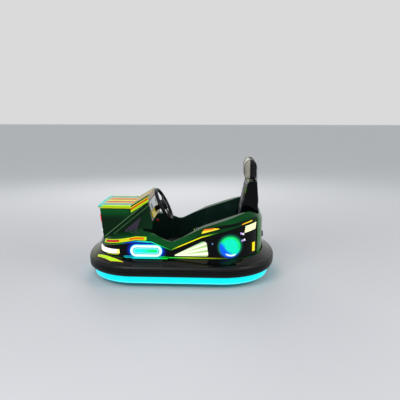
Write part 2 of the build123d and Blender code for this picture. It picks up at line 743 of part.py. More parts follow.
cheek_points = (
    (cheek_front, NOSE_BASE),
    (cheek_front, cheek_low),
    (cheek_head, cheek_high),
    (cheek_foot, NOSE_BASE),
)


def nose_width(extra):
    """Front view of the nose box, narrower towards its top, as a bar along the car."""
    half = [(y + extra, z) for y, z in NOSE_HALF]
    with BuildPart() as bar:
        with BuildSketch(Plane.YZ):
            with BuildLine():
                Polyline(*half, *[(-y, z) for y, z in reversed(half)], close=True)
            make_face()
        extrude(amount=REACH)
    return bar.part


with BuildPart() as nose_form:
    extrude(to_extrude=side_sketch(nose_points), amount=2 * REACH)
    add(nose_width(0), mode=Mode.INTERSECT)

with BuildPart() as cheek_bar:
    add(side_bar(cheek_points))
    add(nose_width(-CHEEK_DEPTH), mode=Mode.SUBTRACT)

# Steering column axis, from the steering wheel's centre down into the nose box
tilt = math.radians(COLUMN_TILT)
column_up = (-math.cos(tilt), 0, math.sin(tilt))
wheel_plane = Plane(origin=WHEEL_CENTRE, x_dir=(0, -1, 0), z_dir=column_up)

with BuildPart() as nose_shell:
    add(nose_form.part)
    for step in (0, BEAM_WIDTH + BEAM_GAP):
        with BuildPart(mode=Mode.PRIVATE) as beam:
            add(side_bar(stripe(BEAM_FOOT, BEAM_HEAD, -step - BEAM_WIDTH, -step)))
            add(nose_width(BEAM_RAISE), mode=Mode.INTERSECT)
            add(nose_width(-NOSE_WALL), mode=Mode.SUBTRACT)
            add(side_bar(cowl_points), mode=Mode.SUBTRACT)
        add(beam.part)
    with BuildPart(mode=Mode.PRIVATE) as nose_hollow:
        knee_x = NOSE_REAR_KNEE[0] + 4 * NOSE_WALL
        well_front = WELL[0][0] + 2 * TUB_WALL
        hollow_floor = ridge_height(well_front) + 2 * NOSE_WALL
        hollow_points = (
            (well_front, NOSE_BASE),
            (NOSE_FRONT_X - NOSE_WALL, NOSE_BASE),
            (NOSE_FRONT_X + NOSE_FRONT_LEAN - NOSE_WALL, NOSE_TOP - NOSE_WALL),
            (NOSE_FLAT_X, NOSE_TOP - NOSE_WALL),
            (NOSE_REAR_TOP[0] + 2 * NOSE_WALL, NOSE_REAR_TOP[1] - 3 * NOSE_WALL),
            (knee_x, NOSE_REAR_KNEE[1]),
            (knee_x, hollow_floor),
            (well_front, hollow_floor),
        )
        extrude(to_extrude=side_sketch(hollow_points), amount=2 * REACH)
        add(nose_width(-CHEEK_DEPTH - NOSE_WALL), mode=Mode.INTERSECT)
    add(nose_hollow.part, mode=Mode.SUBTRACT)
    add(cheek_bar.part, mode=Mode.SUBTRACT)
    add(outer_form, mode=Mode.SUBTRACT)
    with BuildSketch(wheel_plane):
        Circle(COLUMN_RADIUS)
    extrude(amount=-COLUMN_END * 2, mode=Mode.SUBTRACT)
save(nose_shell, "nose_shell")

# Slatted grilles in the cheeks, under the double beam: a plate with slats along the beam's line
with BuildPart() as cheek_grilles:
    add(cheek_bar.part)
    add(nose_width(CHEEK_PLATE - CHEEK_DEPTH), mode=Mode.INTERSECT)
    for index in range(CHEEK_SLATS):
        with BuildPart(mode=Mode.PRIVATE) as slat:
            low = -cheek_drop - CHEEK_PITCH * (index + 1)
            add(side_bar(stripe(BEAM_FOOT, BEAM_HEAD, low, low + CHEEK_SLAT_WIDTH)))
            add(cheek_bar.part, mode=Mode.INTERSECT)
            add(nose_width(-CHEEK_PLATE), mode=Mode.INTERSECT)
        add(slat.part)
    add(outer_form, mode=Mode.SUBTRACT)
save(cheek_grilles, "cheek_grilles")

# Lid on the flat of the nose
with BuildPart() as nose_lid:
    lid_front = NOSE_FRONT_X + NOSE_FRONT_LEAN + LID_OVERHANG
    lid_half = NOSE_HALF[1][0] + COWL_OVERHANG
    lid_half_front = lid_half - LID_TAPER
    with BuildSketch(Plane.XY.offset(NOSE_TOP)):
        with BuildLine():
            FilletPolyline(
                (NOSE_FLAT_X, lid_half),
                (lid_front, lid_half_front),
                (lid_front, -lid_half_front),
                (NOSE_FLAT_X, -lid_half),
                radius=(0, LID_CORNER, LID_CORNER, 0),
                close=True,
            )
        make_face()
    extrude(amount=LID_THICKNESS)
    lid_rim = nose_lid.faces().sort_by(Axis.Z)[-1].edges().filter_by(Axis.Y, reverse=True)
    fillet(lid_rim, radius=LID_THICKNESS / 3)
save(nose_lid, "nose_lid")

# Raked cowl between the lid and the dash
with BuildPart() as nose_cowl:
    add(side_bar(cowl_points))
    add(nose_width(COWL_OVERHANG), mode=Mode.INTERSECT)
    add(nose_form.part, mode=Mode.SUBTRACT)
save(nose_cowl, "nose_cowl")

# Lamps on the nose box's front face
lean = math.atan2(NOSE_FRONT_LEAN, NOSE_TOP - NOSE_BASE)
front_face = Plane(
    origin=(NOSE_FRONT_X, 0, NOSE_BASE),
    x_dir=(0, 1, 0),
    z_dir=(math.cos(lean), 0, -math.sin(lean)),
)
with BuildPart() as nose_lamps:
    with BuildSketch(front_face):
        for sign in (1, -1):
            with Locations((sign * NOSE_STRIP[0], NOSE_STRIP[1])):
                SlotOverall(*NOSE_STRIP_SIZE, rotation=90)
            for across, up, radius in NOSE_SPOTS:
                with Locations((sign * across, up)):
                    Circle(radius)
    extrude(amount=NOSE_LAMP_RAISE)
save(nose_lamps, "nose_lamps")

# Dash panel on the nose box's rear face
rear_run = NOSE_REAR_TOP[0] - NOSE_REAR_KNEE[0]
rear_rise = NOSE_REAR_TOP[1] - NOSE_REAR_KNEE[1]
rear_length = math.hypot(rear_run, rear_rise)
dash_out = Plane(
    origin=(NOSE_REAR_KNEE[0], 0, NOSE_REAR_KNEE[1]),
    x_dir=(0, -1, 0),
    z_dir=(-rear_rise / rear_length, 0, rear_run / rear_length),
)
with BuildPart() as dash_panel:
    with BuildSketch(dash_out):
        with Locations((0, DASH_HEIGHT / 2 + DASH_FOOT)):
            RectangleRounded(DASH_WIDTH, DASH_HEIGHT, DASH_CORNER)
    extrude(amount=DASH_THICKNESS)
    with BuildSketch(wheel_plane):
        Circle(COLUMN_RADIUS)
    extrude(amount=-COLUMN_END * 2, mode=Mode.SUBTRACT)
save(dash_panel, "dash_panel")

# Two lever switches on the dash, and a push button on the nose's rear wall under it
button_wall = Plane(origin=(NOSE_REAR_KNEE[0], BUTTON_Y, BUTTON_Z), x_dir=(0, -1, 0), z_dir=(-1, 0, 0))
with BuildPart() as dash_switches:
    for across, up in SWITCH_PLACES:
        with BuildSketch(dash_out.offset(DASH_THICKNESS)):
            with Locations((across, up)):
                Circle(SWITCH_RADIUS)
        extrude(amount=SWITCH_BASE)
        with BuildSketch(dash_out.offset(DASH_THICKNESS + SWITCH_BASE)):
            with Locations((across, up)):
                SlotOverall(*SWITCH_LEVER, rotation=90)
        extrude(amount=SWITCH_RISE)
    with BuildSketch(button_wall):
        Circle(BUTTON_RADIUS)
    extrude(amount=SWITCH_BASE)
    with BuildSketch(button_wall.offset(SWITCH_BASE)):
        Circle(BUTTON_CAP)
    extrude(amount=SWITCH_RISE / 2)
save(dash_switches, "dash_switches")

# Steering column tube, fixed in the dash
with BuildPart() as steering_column:
    with BuildSketch(wheel_plane.offset(-COLUMN_START)):
        Circle(COLUMN_RADIUS)
        Circle(SHAFT_RADIUS + RUNNING_GAP, mode=Mode.SUBTRACT)
    extrude(amount=COLUMN_START - COLUMN_END)
save(steering_column, "steering_column")

# Steering wheel with its shaft
with BuildPart() as steering_wheel:
    with BuildSketch(wheel_plane.offset(COLUMN_START / 2 - HUB_RADIUS)):
        Circle(HUB_RADIUS / 2)
    extrude(amount=HUB_RADIUS - COLUMN_START / 2)
    with BuildSketch(wheel_plane.offset(-RIM_TUBE)):
        Circle(HUB_RADIUS)
    extrude(amount=2 * RIM_TUBE)
    hub_rims = steering_wheel.edges().filter_by(GeomType.CIRCLE).sort_by(Axis(WHEEL_CENTRE, column_up))
    fillet(hub_rims[-1], radius=HUB_ROUNDING)
    with BuildSketch(Plane(origin=WHEEL_CENTRE, x_dir=column_up, z_dir=(0, 1, 0))):
        with Locations((0, RIM_RADIUS)):
            Circle(RIM_TUBE)
    revolve(axis=Axis(WHEEL_CENTRE, column_up))
    for index in range(SPOKES):
        turn = math.radians(-90 + 360 * index / SPOKES)
        out = wheel_plane.x_dir * math.cos(turn) + wheel_plane.y_dir * math.sin(turn)
        spoke_foot = Vector(*WHEEL_CENTRE) + out * HUB_RADIUS / 2
        with BuildSketch(Plane(origin=spoke_foot, x_dir=wheel_plane.z_dir, z_dir=out)):
            RectangleRounded(SPOKE_WALL, SPOKE_WIDTH, SPOKE_ROUNDING)
        extrude(amount=RIM_RADIUS - HUB_RADIUS / 2)
    with BuildSketch(wheel_plane.offset(-RIM_TUBE)):
        Circle(SHAFT_RADIUS)
    extrude(amount=RIM_TUBE - COLUMN_END + SHAFT_SHORTFALL)
    with BuildPart(wheel_plane.offset(SOFT_GAP - COLUMN_START), mode=Mode.PRIVATE) as cut:
        deep = (Align.CENTER, Align.CENTER, Align.MAX)
        Cylinder(HUB_RADIUS, HUB_RADIUS, align=deep)
        Cylinder(SHAFT_RADIUS, HUB_RADIUS, align=deep, mode=Mode.SUBTRACT)
    add(cut.part, mode=Mode.SUBTRACT)
save(steering_wheel, "steering_wheel")

# Seat riser over the battery
riser_front = SEAT_FRONT + RISER_MARGIN
riser_rear = SEAT_FOOT_X + 2 * RISER_MARGIN
front_rake, rear_rake = RISER_RAKE
riser_half = SEAT_HALF + RISER_MARGIN
with BuildPart() as seat_riser:
    riser_points = (
        (riser_front, FLOOR_TOP),
        (riser_front - front_rake, SEAT_BASE_TOP),
        (riser_rear + rear_rake, SEAT_BASE_TOP),
        (riser_rear, FLOOR_TOP),
    )
    inner_points = (
        (riser_front - RISER_WALL, FLOOR_TOP),
        (riser_front - front_rake - RISER_WALL, SEAT_BASE_TOP - RISER_WALL),
        (riser_rear + rear_rake + RISER_WALL, SEAT_BASE_TOP - RISER_WALL),
        (riser_rear + RISER_WALL, FLOOR_TOP),
    )
    add(wide_bar(riser_points, riser_half))
    add(wide_bar(inner_points, riser_half - RISER_WALL), mode=Mode.SUBTRACT)
save(seat_riser, "seat_riser")

# Seat shell: a bucket of one skin, with a wing up each side of the cushion and the back
shell_base = SEAT_BASE_TOP + SEAT_SKIN
back_points = [
    (SEAT_FOOT_X, SEAT_BASE_TOP),
    SEAT_KINK,
    (SEAT_REAR, SEAT_BULGE_Z),
    SEAT_TOP,
]
shell_points = [
    (SEAT_FRONT, SEAT_BASE_TOP),
    *back_points,
    WING_SHOULDER,
    WING_WAIST,
    WING_HIP,
    WING_LAP,
    WING_TIP,
    (SEAT_FRONT, shell_base),
]
hollow_back = [(x + SEAT_SKIN, z) for x, z in back_points[1:]]
hollow_reach = SEAT_TOP[1] + CUSHION_HEIGHT
hollow_points = [
    (SEAT_FRONT + CUSHION_HEIGHT, shell_base),
    (SEAT_FOOT_X + SEAT_SKIN, shell_base),
    *hollow_back,
    (SEAT_TOP[0] + SEAT_SKIN, hollow_reach),
    (SEAT_FRONT + CUSHION_HEIGHT, hollow_reach),
]
with BuildPart() as seat_shell:
    add(wide_bar(shell_points, SEAT_HALF, SHELL_RADII))
    add(wide_bar(hollow_points, SEAT_HALF - SEAT_WING, HOLLOW_RADII), mode=Mode.SUBTRACT)
save(seat_shell, "seat_shell")

pad_half = SEAT_HALF - SEAT_WING - SOFT_GAP
cushion_low = shell_base + SOFT_GAP
cushion_front = SEAT_FRONT - CUSHION_SETBACK
cushion_rear = WING_WAIST[0] + CUSHION_START
with BuildPart() as seat_cushion:
    cushion_points = (
        (cushion_front, cushion_low),
        (cushion_front, cushion_low + CUSHION_HEIGHT),
        (cushion_rear + PAD_RECESS, cushion_low + CUSHION_HEIGHT - CUSHION_FALL),
        (cushion_rear, cushion_low),
    )
    add(wide_bar(cushion_points, pad_half, CUSHION_RADII))
    cushion_rim = seat_cushion.faces().sort_by(Axis.Z)[-1].edges().filter_by(Axis.Y, reverse=True)
    fillet(cushion_rim, radius=CUSHION_ROUNDING)
save(seat_cushion, "seat_cushion")

skin_step = SEAT_SKIN + SOFT_GAP
with BuildPart() as seat_back_pad:
    pad_points = (
        (cushion_rear - SOFT_GAP * 10, cushion_low),
        (WING_WAIST[0] - PAD_RECESS / 2, WING_WAIST[1]),
        (WING_SHOULDER[0] - PAD_RECESS / 4, WING_SHOULDER[1] - PAD_RECESS),
        (WING_SHOULDER[0] - 4 * PAD_RECESS, SEAT_TOP[1]),
        (SEAT_TOP[0] + skin_step, SEAT_TOP[1]),
        (SEAT_REAR + skin_step, SEAT_BULGE_Z),
        (SEAT_KINK[0] + skin_step, SEAT_KINK[1]),
        (SEAT_FOOT_X + skin_step + PAD_RECESS, cushion_low + PAD_RECESS),
    )
    add(wide_bar(pad_points, pad_half, PAD_RADII))
save(seat_back_pad, "seat_back_pad")

with BuildPart() as headrest:
    headrest_back = SEAT_TOP[0] + SOFT_GAP
    front_line = [(SEAT_REAR + x, z) for x, z, radius in HEADREST_FRONT]
    foot_z = HEADREST_FRONT[0][1]
    shoulder_z = HEADREST_FRONT[2][1] - HEADREST_SHOULDER
    headrest_points = [*front_line, (headrest_back, shoulder_z), (headrest_back, foot_z)]
    headrest_radii = [radius for x, z, radius in HEADREST_FRONT] + list(HEADREST_BACK_RADII)
    add(wide_bar(headrest_points, HEADREST_HALF, headrest_radii))
save(headrest, "headrest")

# Two flat straps up the back of the shell, which carry the headrest
shell_lean = (SEAT_TOP[0] - SEAT_REAR) / (SEAT_TOP[1] - SEAT_BULGE_Z)
strap_foot_x = SEAT_REAR + shell_lean * (STRAP_FOOT_Z - SEAT_BULGE_Z)
with BuildPart() as headrest_straps:
    strap_points = (
        (strap_foot_x, STRAP_FOOT_Z),
        SEAT_TOP,
        (SEAT_TOP[0], STRAP_TOP_Z),
        (SEAT_TOP[0] - STRAP_WALL, STRAP_TOP_Z),
        (SEAT_TOP[0] - STRAP_WALL, SEAT_TOP[1]),
        (strap_foot_x - STRAP_WALL, STRAP_FOOT_Z),
    )
    for sign in (1, -1):
        with BuildSketch(Plane.XZ.offset(-sign * STRAP_Y)):
            with BuildLine():
                Polyline(*strap_points, close=True)
            make_face()
        extrude(amount=STRAP_WIDTH / 2, both=True)
save(headrest_straps, "headrest_straps")

# Pedal on the footwell floor
with BuildPart() as pedal:
    pedal_rear, pedal_front = PEDAL_X
    pedal_points = (
        (pedal_rear, FLOOR_TOP),
        (pedal_front, FLOOR_TOP),
        (pedal_front + PEDAL_WALL, FLOOR_TOP + PEDAL_RISE - PEDAL_WALL),
        (pedal_front, FLOOR_TOP + PEDAL_RISE),
        (pedal_rear, FLOOR_TOP + PEDAL_WALL),
    )
    with BuildSketch(Plane.XZ.offset(-PEDAL_Y)):
        with BuildLine():
            Polyline(*pedal_points, close=True)
        make_face()
    extrude(amount=PEDAL_WIDTH / 2, both=True)
save(pedal, "pedal")

# Bridge over the drive unit with its swivel housing
leg_out = RAIL_Y + RAIL_WIDTH / 2
housing_bottom = BRIDGE_TOP - BRIDGE_PLATE - HOUSING_DROP
housing_top = housing_bottom + HOUSING_LENGTH
inner_corner = BRIDGE_CORNER + BRIDGE_PLATE / 2
bridge_half = (
    (leg_out, FLOOR_TOP),
    (leg_out, BRIDGE_TOP - BRIDGE_CORNER),
    (leg_out - BRIDGE_CORNER, BRIDGE_TOP),
)
bridge_inside = (
    (leg_out - inner_corner, BRIDGE_TOP - BRIDGE_PLATE),
    (leg_out - BRIDGE_PLATE, BRIDGE_TOP - inner_corner),
    (leg_out - BRIDGE_PLATE, FLOOR_TOP),
)
with BuildPart() as steer_bridge:
    with BuildSketch(Plane.YZ.offset(DRIVE_X - BRIDGE_WIDTH / 2)):
        with BuildLine():
            Polyline(
                *bridge_half,
                *[(-y, z) for y, z in reversed(bridge_half)],
                *[(-y, z) for y, z in reversed(bridge_inside)],
                *bridge_inside,
                close=True,
            )
        make_face()
    extrude(amount=BRIDGE_WIDTH)
    with BuildSketch(Plane.XY.offset(housing_bottom)):
        with Locations((DRIVE_X, 0)):
            Circle(HOUSING_RADIUS)
    extrude(amount=HOUSING_LENGTH)
    with BuildSketch(Plane.XY.offset(housing_bottom)):
        with Locations((DRIVE_X, 0)):
            Circle(STEM_RADIUS + RUNNING_GAP)
    extrude(amount=HOUSING_LENGTH, mode=Mode.SUBTRACT)
save(steer_bridge, "steer_bridge")

# Drive fork: crown, stem, two legs and the fixed axle
leg_inner = FORK_GAP / 2
leg_half = FORK_LEG_WIDTH / 2
crown_top = CROWN_BOTTOM + CROWN_THICKNESS
axle_half = leg_inner + FORK_LEG + FORK_TAPER
with BuildPart() as drive_fork:
    with BuildSketch(Plane.XY.offset(CROWN_BOTTOM)):
        with Locations((DRIVE_X, 0)):
            Circle(CROWN_RADIUS)
    extrude(amount=CROWN_THICKNESS)
    with BuildSketch(Plane.XY.offset(crown_top)):
        with Locations((DRIVE_X, 0)):
            Circle(HOUSING_RADIUS - FORK_TAPER)
    extrude(amount=housing_bottom - SOFT_GAP - crown_top)
    with BuildSketch(Plane.XY.offset(CROWN_BOTTOM)):
        with Locations((DRIVE_X, 0)):
            Circle(STEM_RADIUS)
    extrude(amount=housing_top + SOFT_GAP + NUT_HEIGHT / 2 - CROWN_BOTTOM)
    with BuildSketch(Plane.XY.offset(housing_top + SOFT_GAP)):
        with Locations((DRIVE_X, 0)):
            RegularPolygon(NUT_RADIUS, 6)
    extrude(amount=NUT_HEIGHT)
    for sign in (1, -1):
        with BuildSketch(Plane.XZ.offset(-sign * (leg_inner + FORK_LEG / 2))):
            with BuildLine():
                Polyline(
                    (DRIVE_X - leg_half, CROWN_BOTTOM + CROWN_THICKNESS / 2),
                    (DRIVE_X + leg_half, CROWN_BOTTOM + CROWN_THICKNESS / 2),
                    (DRIVE_X + leg_half - FORK_TAPER, DRIVE_RADIUS),
                    (DRIVE_X - leg_half + FORK_TAPER, DRIVE_RADIUS),
                    close=True,
                )
            make_face()
            with Locations((DRIVE_X, DRIVE_RADIUS)):
                Circle(leg_half - FORK_TAPER)
        extrude(amount=FORK_LEG / 2, both=True)
    with BuildSketch(Plane.XZ.offset(-axle_half)):
        with Locations((DRIVE_X, DRIVE_RADIUS)):
            Circle(AXLE_RADIUS)
    extrude(amount=2 * axle_half)
    spacer = leg_inner - DRIVE_HUB_WIDTH / 2 - SOFT_GAP
    for start in (leg_inner, spacer - leg_inner):
        with BuildSketch(Plane.XZ.offset(-start)):
            with Locations((DRIVE_X, DRIVE_RADIUS)):
                Circle(COLLAR_RADIUS)
        extrude(amount=spacer)
save(drive_fork, "drive_fork")


def wheel_pair(x, y, radius, rim_radius, tyre_width, rim_width):
    """A tyre and its hub, turned about the axle line at x, y and the radius's height."""
    axle_line = Axis((x, y, radius), (0, 1, 0))
    section = Plane(origin=(x, y, radius), x_dir=(0, 1, 0), z_dir=(-1, 0, 0))
    shoulder = tyre_width / 5
    tyre_half = tyre_width / 2
    with BuildPart() as tyre:
        with BuildSketch(section):
            with BuildLine():
                FilletPolyline(
                    (-tyre_half, rim_radius),
                    (-tyre_half, radius),
                    (tyre_half, radius),
                    (tyre_half, rim_radius),
                    radius=(0, shoulder, shoulder, 0),
                    close=True,
                )
            make_face()
        revolve(axis=axle_line)
    web_half = rim_width / 6
    lip = rim_radius / 7
    boss = AXLE_RADIUS * 2
    hub_side = (
        (rim_width / 2, AXLE_RADIUS + RUNNING_GAP),
        (rim_width / 2, boss),
        (web_half, boss + lip),
        (web_half, rim_radius - 2 * lip),
        (tyre_half, rim_radius - lip),
        (tyre_half, rim_radius),
    )
    with BuildPart() as hub:
        with BuildSketch(section):
            with BuildLine():
                Polyline(*[(-y, z) for y, z in hub_side], *reversed(hub_side), close=True)
            make_face()
        revolve(axis=axle_line)
    return tyre, hub


drive_tyre, drive_hub = wheel_pair(
    DRIVE_X, 0, DRIVE_RADIUS, DRIVE_HUB_RADIUS, DRIVE_TYRE_WIDTH, DRIVE_HUB_WIDTH
)
save(drive_tyre, "drive_tyre")
save(drive_hub, "drive_hub")

# Rear axle with its collars, and the two plain wheels on it
rim_width = REAR_WIDTH + REAR_RIM_EXTRA
outer_collar = REAR_Y + rim_width / 2 + SOFT_GAP + COLLAR_WIDTH
inner_collar = REAR_Y - rim_width / 2 - SOFT_GAP
with BuildPart() as rear_axle:
    with BuildSketch(Plane.XZ.offset(-outer_collar)):
        with Locations((REAR_X, REAR_RADIUS)):
            Circle(AXLE_RADIUS)
    extrude(amount=2 * outer_collar)
    for start in (outer_collar, inner_collar, COLLAR_WIDTH - inner_collar, COLLAR_WIDTH - outer_collar):
        with BuildSketch(Plane.XZ.offset(-start)):
            with Locations((REAR_X, REAR_RADIUS)):
                Circle(COLLAR_RADIUS)
        extrude(amount=COLLAR_WIDTH)
save(rear_axle, "rear_axle")

for side, sign in (("left", 1), ("right", -1)):
    rear_tyre, rear_rim = wheel_pair(
        REAR_X, sign * REAR_Y, REAR_RADIUS, REAR_RIM_RADIUS, REAR_WIDTH, rim_width
    )
    save(rear_tyre, f"rear_tyre_{side}")
    save(rear_rim, f"rear_rim_{side}")

# Battery block and the tray hung between the rails
with BuildPart() as battery_tray:
    with BuildSketch(Plane.XY.offset(TRAY_BOTTOM)):
        with Locations((BATTERY_MID, 0)):
            Rectangle(BATTERY_LENGTH + 2 * TRAY_WALL, 2 * TRAY_HALF)
    extrude(amount=FRAME_TOP - TRAY_BOTTOM)
    with BuildSketch(Plane.XY.offset(TRAY_BOTTOM + TRAY_WALL)):
        with Locations((BATTERY_MID, 0)):
            Rectangle(BATTERY_LENGTH, 2 * (TRAY_HALF - TRAY_WALL))
    extrude(amount=FRAME_TOP - TRAY_BOTTOM, mode=Mode.SUBTRACT)
save(battery_tray, "battery_tray")

with BuildPart() as battery_pack:
    with BuildSketch(Plane.XY.offset(TRAY_BOTTOM + TRAY_WALL)):
        with Locations((BATTERY_MID, 0)):
            RectangleRounded(BATTERY_LENGTH - 2 * BATTERY_END_GAP, 2 * BATTERY_HALF, BATTERY_ROUNDING)
    extrude(amount=BATTERY_HEIGHT)
save(battery_pack, "battery_pack")

# Charging socket on the tail
with BuildPart() as charge_socket:
    socket_face = REAR + BODY_INSET - SOCKET_STAND
    with BuildSketch(Plane.YZ.offset(socket_face)):
        with Locations((0, SOCKET_Z)):
            Circle(SOCKET_RADIUS)
    extrude(amount=SOCKET_STAND * 2)
    add(outer_form, mode=Mode.SUBTRACT)
    with BuildSketch(Plane.YZ.offset(socket_face)):
        with Locations((0, SOCKET_Z)):
            Circle(SOCKET_BORE)
    extrude(amount=SOCKET_BORE_DEPTH, mode=Mode.SUBTRACT)
save(charge_socket, "charge_socket")
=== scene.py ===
"""Dresses the frame of a battery bumper car: its finishes, lamps, soft goods, trim and stage."""

import math

import bpy
from bpy.props import FloatProperty, FloatVectorProperty, PointerProperty
from mathutils import Matrix, Vector
from mathutils.bvhtree import BVHTree


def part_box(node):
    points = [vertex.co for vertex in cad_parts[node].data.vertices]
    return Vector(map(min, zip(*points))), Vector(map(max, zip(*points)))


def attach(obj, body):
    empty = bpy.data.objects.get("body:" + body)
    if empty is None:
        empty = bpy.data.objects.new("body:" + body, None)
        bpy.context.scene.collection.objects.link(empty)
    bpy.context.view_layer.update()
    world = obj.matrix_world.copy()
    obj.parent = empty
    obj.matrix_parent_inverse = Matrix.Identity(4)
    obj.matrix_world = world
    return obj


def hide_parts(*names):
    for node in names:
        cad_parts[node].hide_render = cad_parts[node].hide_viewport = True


bl_info = {
    "name": "Battery Bumper Car",
    "version": (1, 0, 0),
    "blender": (4, 5, 0),
    "location": "3D View > Sidebar > Bumper Car",
    "description": "Gives the frame of a battery bumper car its finishes, lamps, soft goods and trim",
    "category": "Object",
}

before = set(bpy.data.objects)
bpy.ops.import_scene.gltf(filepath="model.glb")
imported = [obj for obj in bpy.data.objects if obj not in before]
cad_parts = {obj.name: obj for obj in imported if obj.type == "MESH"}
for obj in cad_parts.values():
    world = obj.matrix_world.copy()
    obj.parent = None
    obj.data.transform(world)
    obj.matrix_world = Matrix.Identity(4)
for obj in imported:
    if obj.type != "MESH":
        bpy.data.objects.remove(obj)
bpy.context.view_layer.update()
MM = 0.001

# Plan of the car, worked out from the bumper ring
HALF_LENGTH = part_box("bumper")[1].x
HALF_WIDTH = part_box("bumper")[1].y
BUMPER_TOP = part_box("bumper")[1].z
FLOOR_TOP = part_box("floor_pan")[1].z
CORNER_RADIUS = 400 * MM
END_RADIUS = 800 * MM
END_X = HALF_LENGTH - END_RADIUS
CORNER_Y = HALF_WIDTH - CORNER_RADIUS
CORNER_X = END_X + math.sqrt((END_RADIUS - CORNER_RADIUS) ** 2 - CORNER_Y**2)
BLEND_ANGLE = math.atan2(CORNER_Y, CORNER_X - END_X)
CAMERA_FOCAL_PIXELS = 480.0
PHOTO_PIXELS = 400.0
SENSOR = 36.0

# Lines of the body in side view from the nose to the tail, as x and z
RIDGE = ((0.72, 0.28), (0.56, 0.335), (0.31, 0.388), (0.19, 0.384), (0.045, 0.325), (-0.185, 0.44))
RIDGE += ((-0.5, 0.548), (-0.59, 0.553), (-0.668, 0.47))
WINDOW_TOP = ((0.628, 0.263), (0.56, 0.286), (0.31, 0.339), (0.19, 0.335), (0.045, 0.276))
WINDOW_TOP += ((-0.18, 0.376), (-0.33, 0.418), (-0.47, 0.459), (-0.6, 0.489))
RAIL_LIP = ((-0.18, 0.402), (-0.33, 0.446), (-0.47, 0.472), (-0.6, 0.498))
RAIL_FOLD = ((-0.19, 0.408), (-0.265, 0.451), (-0.33, 0.467), (-0.47, 0.488), (-0.6, 0.504))

# Lamps in side view
CAPSULE = (0.232, 0.27)
CAPSULE_HALF = 0.074
DISC = (-0.392, 0.308)
FAN_TIP = (0.03, 0.235)
FAN_END = -0.224
FAN_SPREAD = 0.1255
TAIL_LOW = (-0.5, 0.404)
TAIL_SLOPE = -0.1667
TAIL_HEIGHT = 0.052

# Nose box: the beams' line, the cowl's two side lines, the lid's underside
BEAM_FOOT = (0.59, 0.325)
BEAM_ACROSS = (0.6316, 0.7753)
COWL_LOW = ((0.382, 0.51), (0.246, 0.597))
COWL_HIGH = ((0.382, 0.565), (0.246, 0.648))
LID_LOW = 0.543

# Lit strips in side view, each between an upper and a lower line
ARCH_LINE = tuple(point for point in WINDOW_TOP if point[0] > 0.045) + ((0.05, 0.278),)
RAIL_LINE = ((0.043, 0.2769), (-0.18, 0.376), (-0.31, 0.4124))
RAIL_WEDGE_TOP = ((-0.183, 0.409), (-0.2, 0.433), (-0.27, 0.4455), (-0.312, 0.4465))
RAIL_WEDGE_FOOT = ((-0.183, 0.405), (-0.312, 0.4435))
RAIL_WEDGE_TONES = ((-0.18, 0.42), (-0.31, 0.4455))
VALANCE_TOP = ((0.4, 0.2224), (0.07, 0.2224))
VALANCE_FOOT = ((0.4, 0.2195), (0.34, 0.2195), (0.33, 0.2134), (0.07, 0.2134))
SILL_TOP = ((0.068, 0.2222), (-0.39, 0.2212))
SILL_FOOT = ((0.068, 0.2155), (-0.39, 0.2155))
UNDERLINE_TOP = ((0.552, 0.2185), (0.444, 0.2338))
UNDERLINE_FOOT = ((0.552, 0.2148), (0.444, 0.2302))
TAIL_LINE = ((-0.478, 0.4715), (-0.556, 0.489))

# Colours of the lit strips, as x and a screen colour
# The arch strip's glow is painted light: the lamps' light on the window's top edge, cyan and blue near
# the capsule lamp.
ARCH_COLOURS = (
    (0.05, (0, 120, 34)),
    (0.12, (0, 190, 60)),
    (0.17, (0, 226, 140)),
    (0.22, (0, 244, 212)),
    (0.29, (0, 190, 240)),
    (0.34, (0, 70, 230)),
    (0.38, (0, 50, 190)),
    (0.42, (0, 120, 50)),
    (0.5, (84, 104, 8)),
    (0.63, (4, 44, 14)),
)
RAIL_COLOURS = (
    (-0.31, (2, 40, 12)),
    (-0.27, (30, 110, 16)),
    (-0.23, (150, 196, 14)),
    (-0.17, (244, 236, 0)),
    (-0.02, (240, 232, 6)),
    (0.02, (120, 180, 8)),
    (0.043, (50, 120, 10)),
)
VALANCE_COLOURS = (
    (0.07, (0, 214, 40)),
    (0.11, (0, 220, 70)),
    (0.14, (0, 226, 190)),
    (0.4, (0, 214, 240)),
)
SILL_COLOURS = (
    (-0.39, (6, 20, 8)),
    (-0.27, (150, 150, 14)),
    (-0.1, (190, 220, 16)),
    (0.0, (60, 220, 50)),
    (0.068, (10, 200, 50)),
)
TAIL_COLOURS = ((-0.556, (250, 226, 60)), (-0.52, (250, 196, 0)), (-0.478, (236, 150, 0)))

# Small round lamps: places in side view, screen colour and radius
SPOT_LAMPS = {
    "lilac_spots": (((-0.474, 0.402), (-0.484, 0.346)), (196, 160, 250), 0.0062),
    "white_spots": (((-0.489, 0.396), (-0.499, 0.35)), (244, 240, 255), 0.0058),
    "blue_spots": (((-0.262, 0.33),), (110, 150, 220), 0.004),
}

# Wedges of painted reflection on the bumper's crown in plan, as x and y
WEDGE_INNER = ((0.63, 0.3), (0.5, 0.405), (0.4, 0.47))
WEDGE_OUTER = ((0.63, 0.33), (0.5, 0.445), (0.4, 0.475))

# Steering wheel. A turned piece's profile is rise and radius, from the foot up
WHEEL_CENTRE = Vector((0.148, 0, 0.536))
WHEEL_TILT = math.radians(27)
WHEEL_UP = Vector((-math.cos(WHEEL_TILT), 0, math.sin(WHEEL_TILT)))
RIM_RADIUS = 0.134
GRIP_RADIUS = 0.0136
GRIP_WAVES = 36
GRIP_WAVE_DEPTH = 0.09
SPOKES = 3
SPOKE_ANGLE = 0.09
SPOKE_SCALE = 0.94
HUB_FACE = 0.0119
HUB_SCREW_REACH = 0.0385
CAP_PROFILE = ((0.003, 0.035), (0.003, 0.032), (0.0, 0.027), (-0.002, 0.0255))
CAP_PROFILE += ((0.0, 0.02), (0.0035, 0.015), (0.001, 0.006))
COLLAR_DROP = 0.0945
COLLAR_PROFILE = ((0.005, 0.034), (0.002, 0.031), (0.004, 0.029), (0.0, 0.0206), (-0.011, 0.0206))
FINE_SEGMENTS = 48

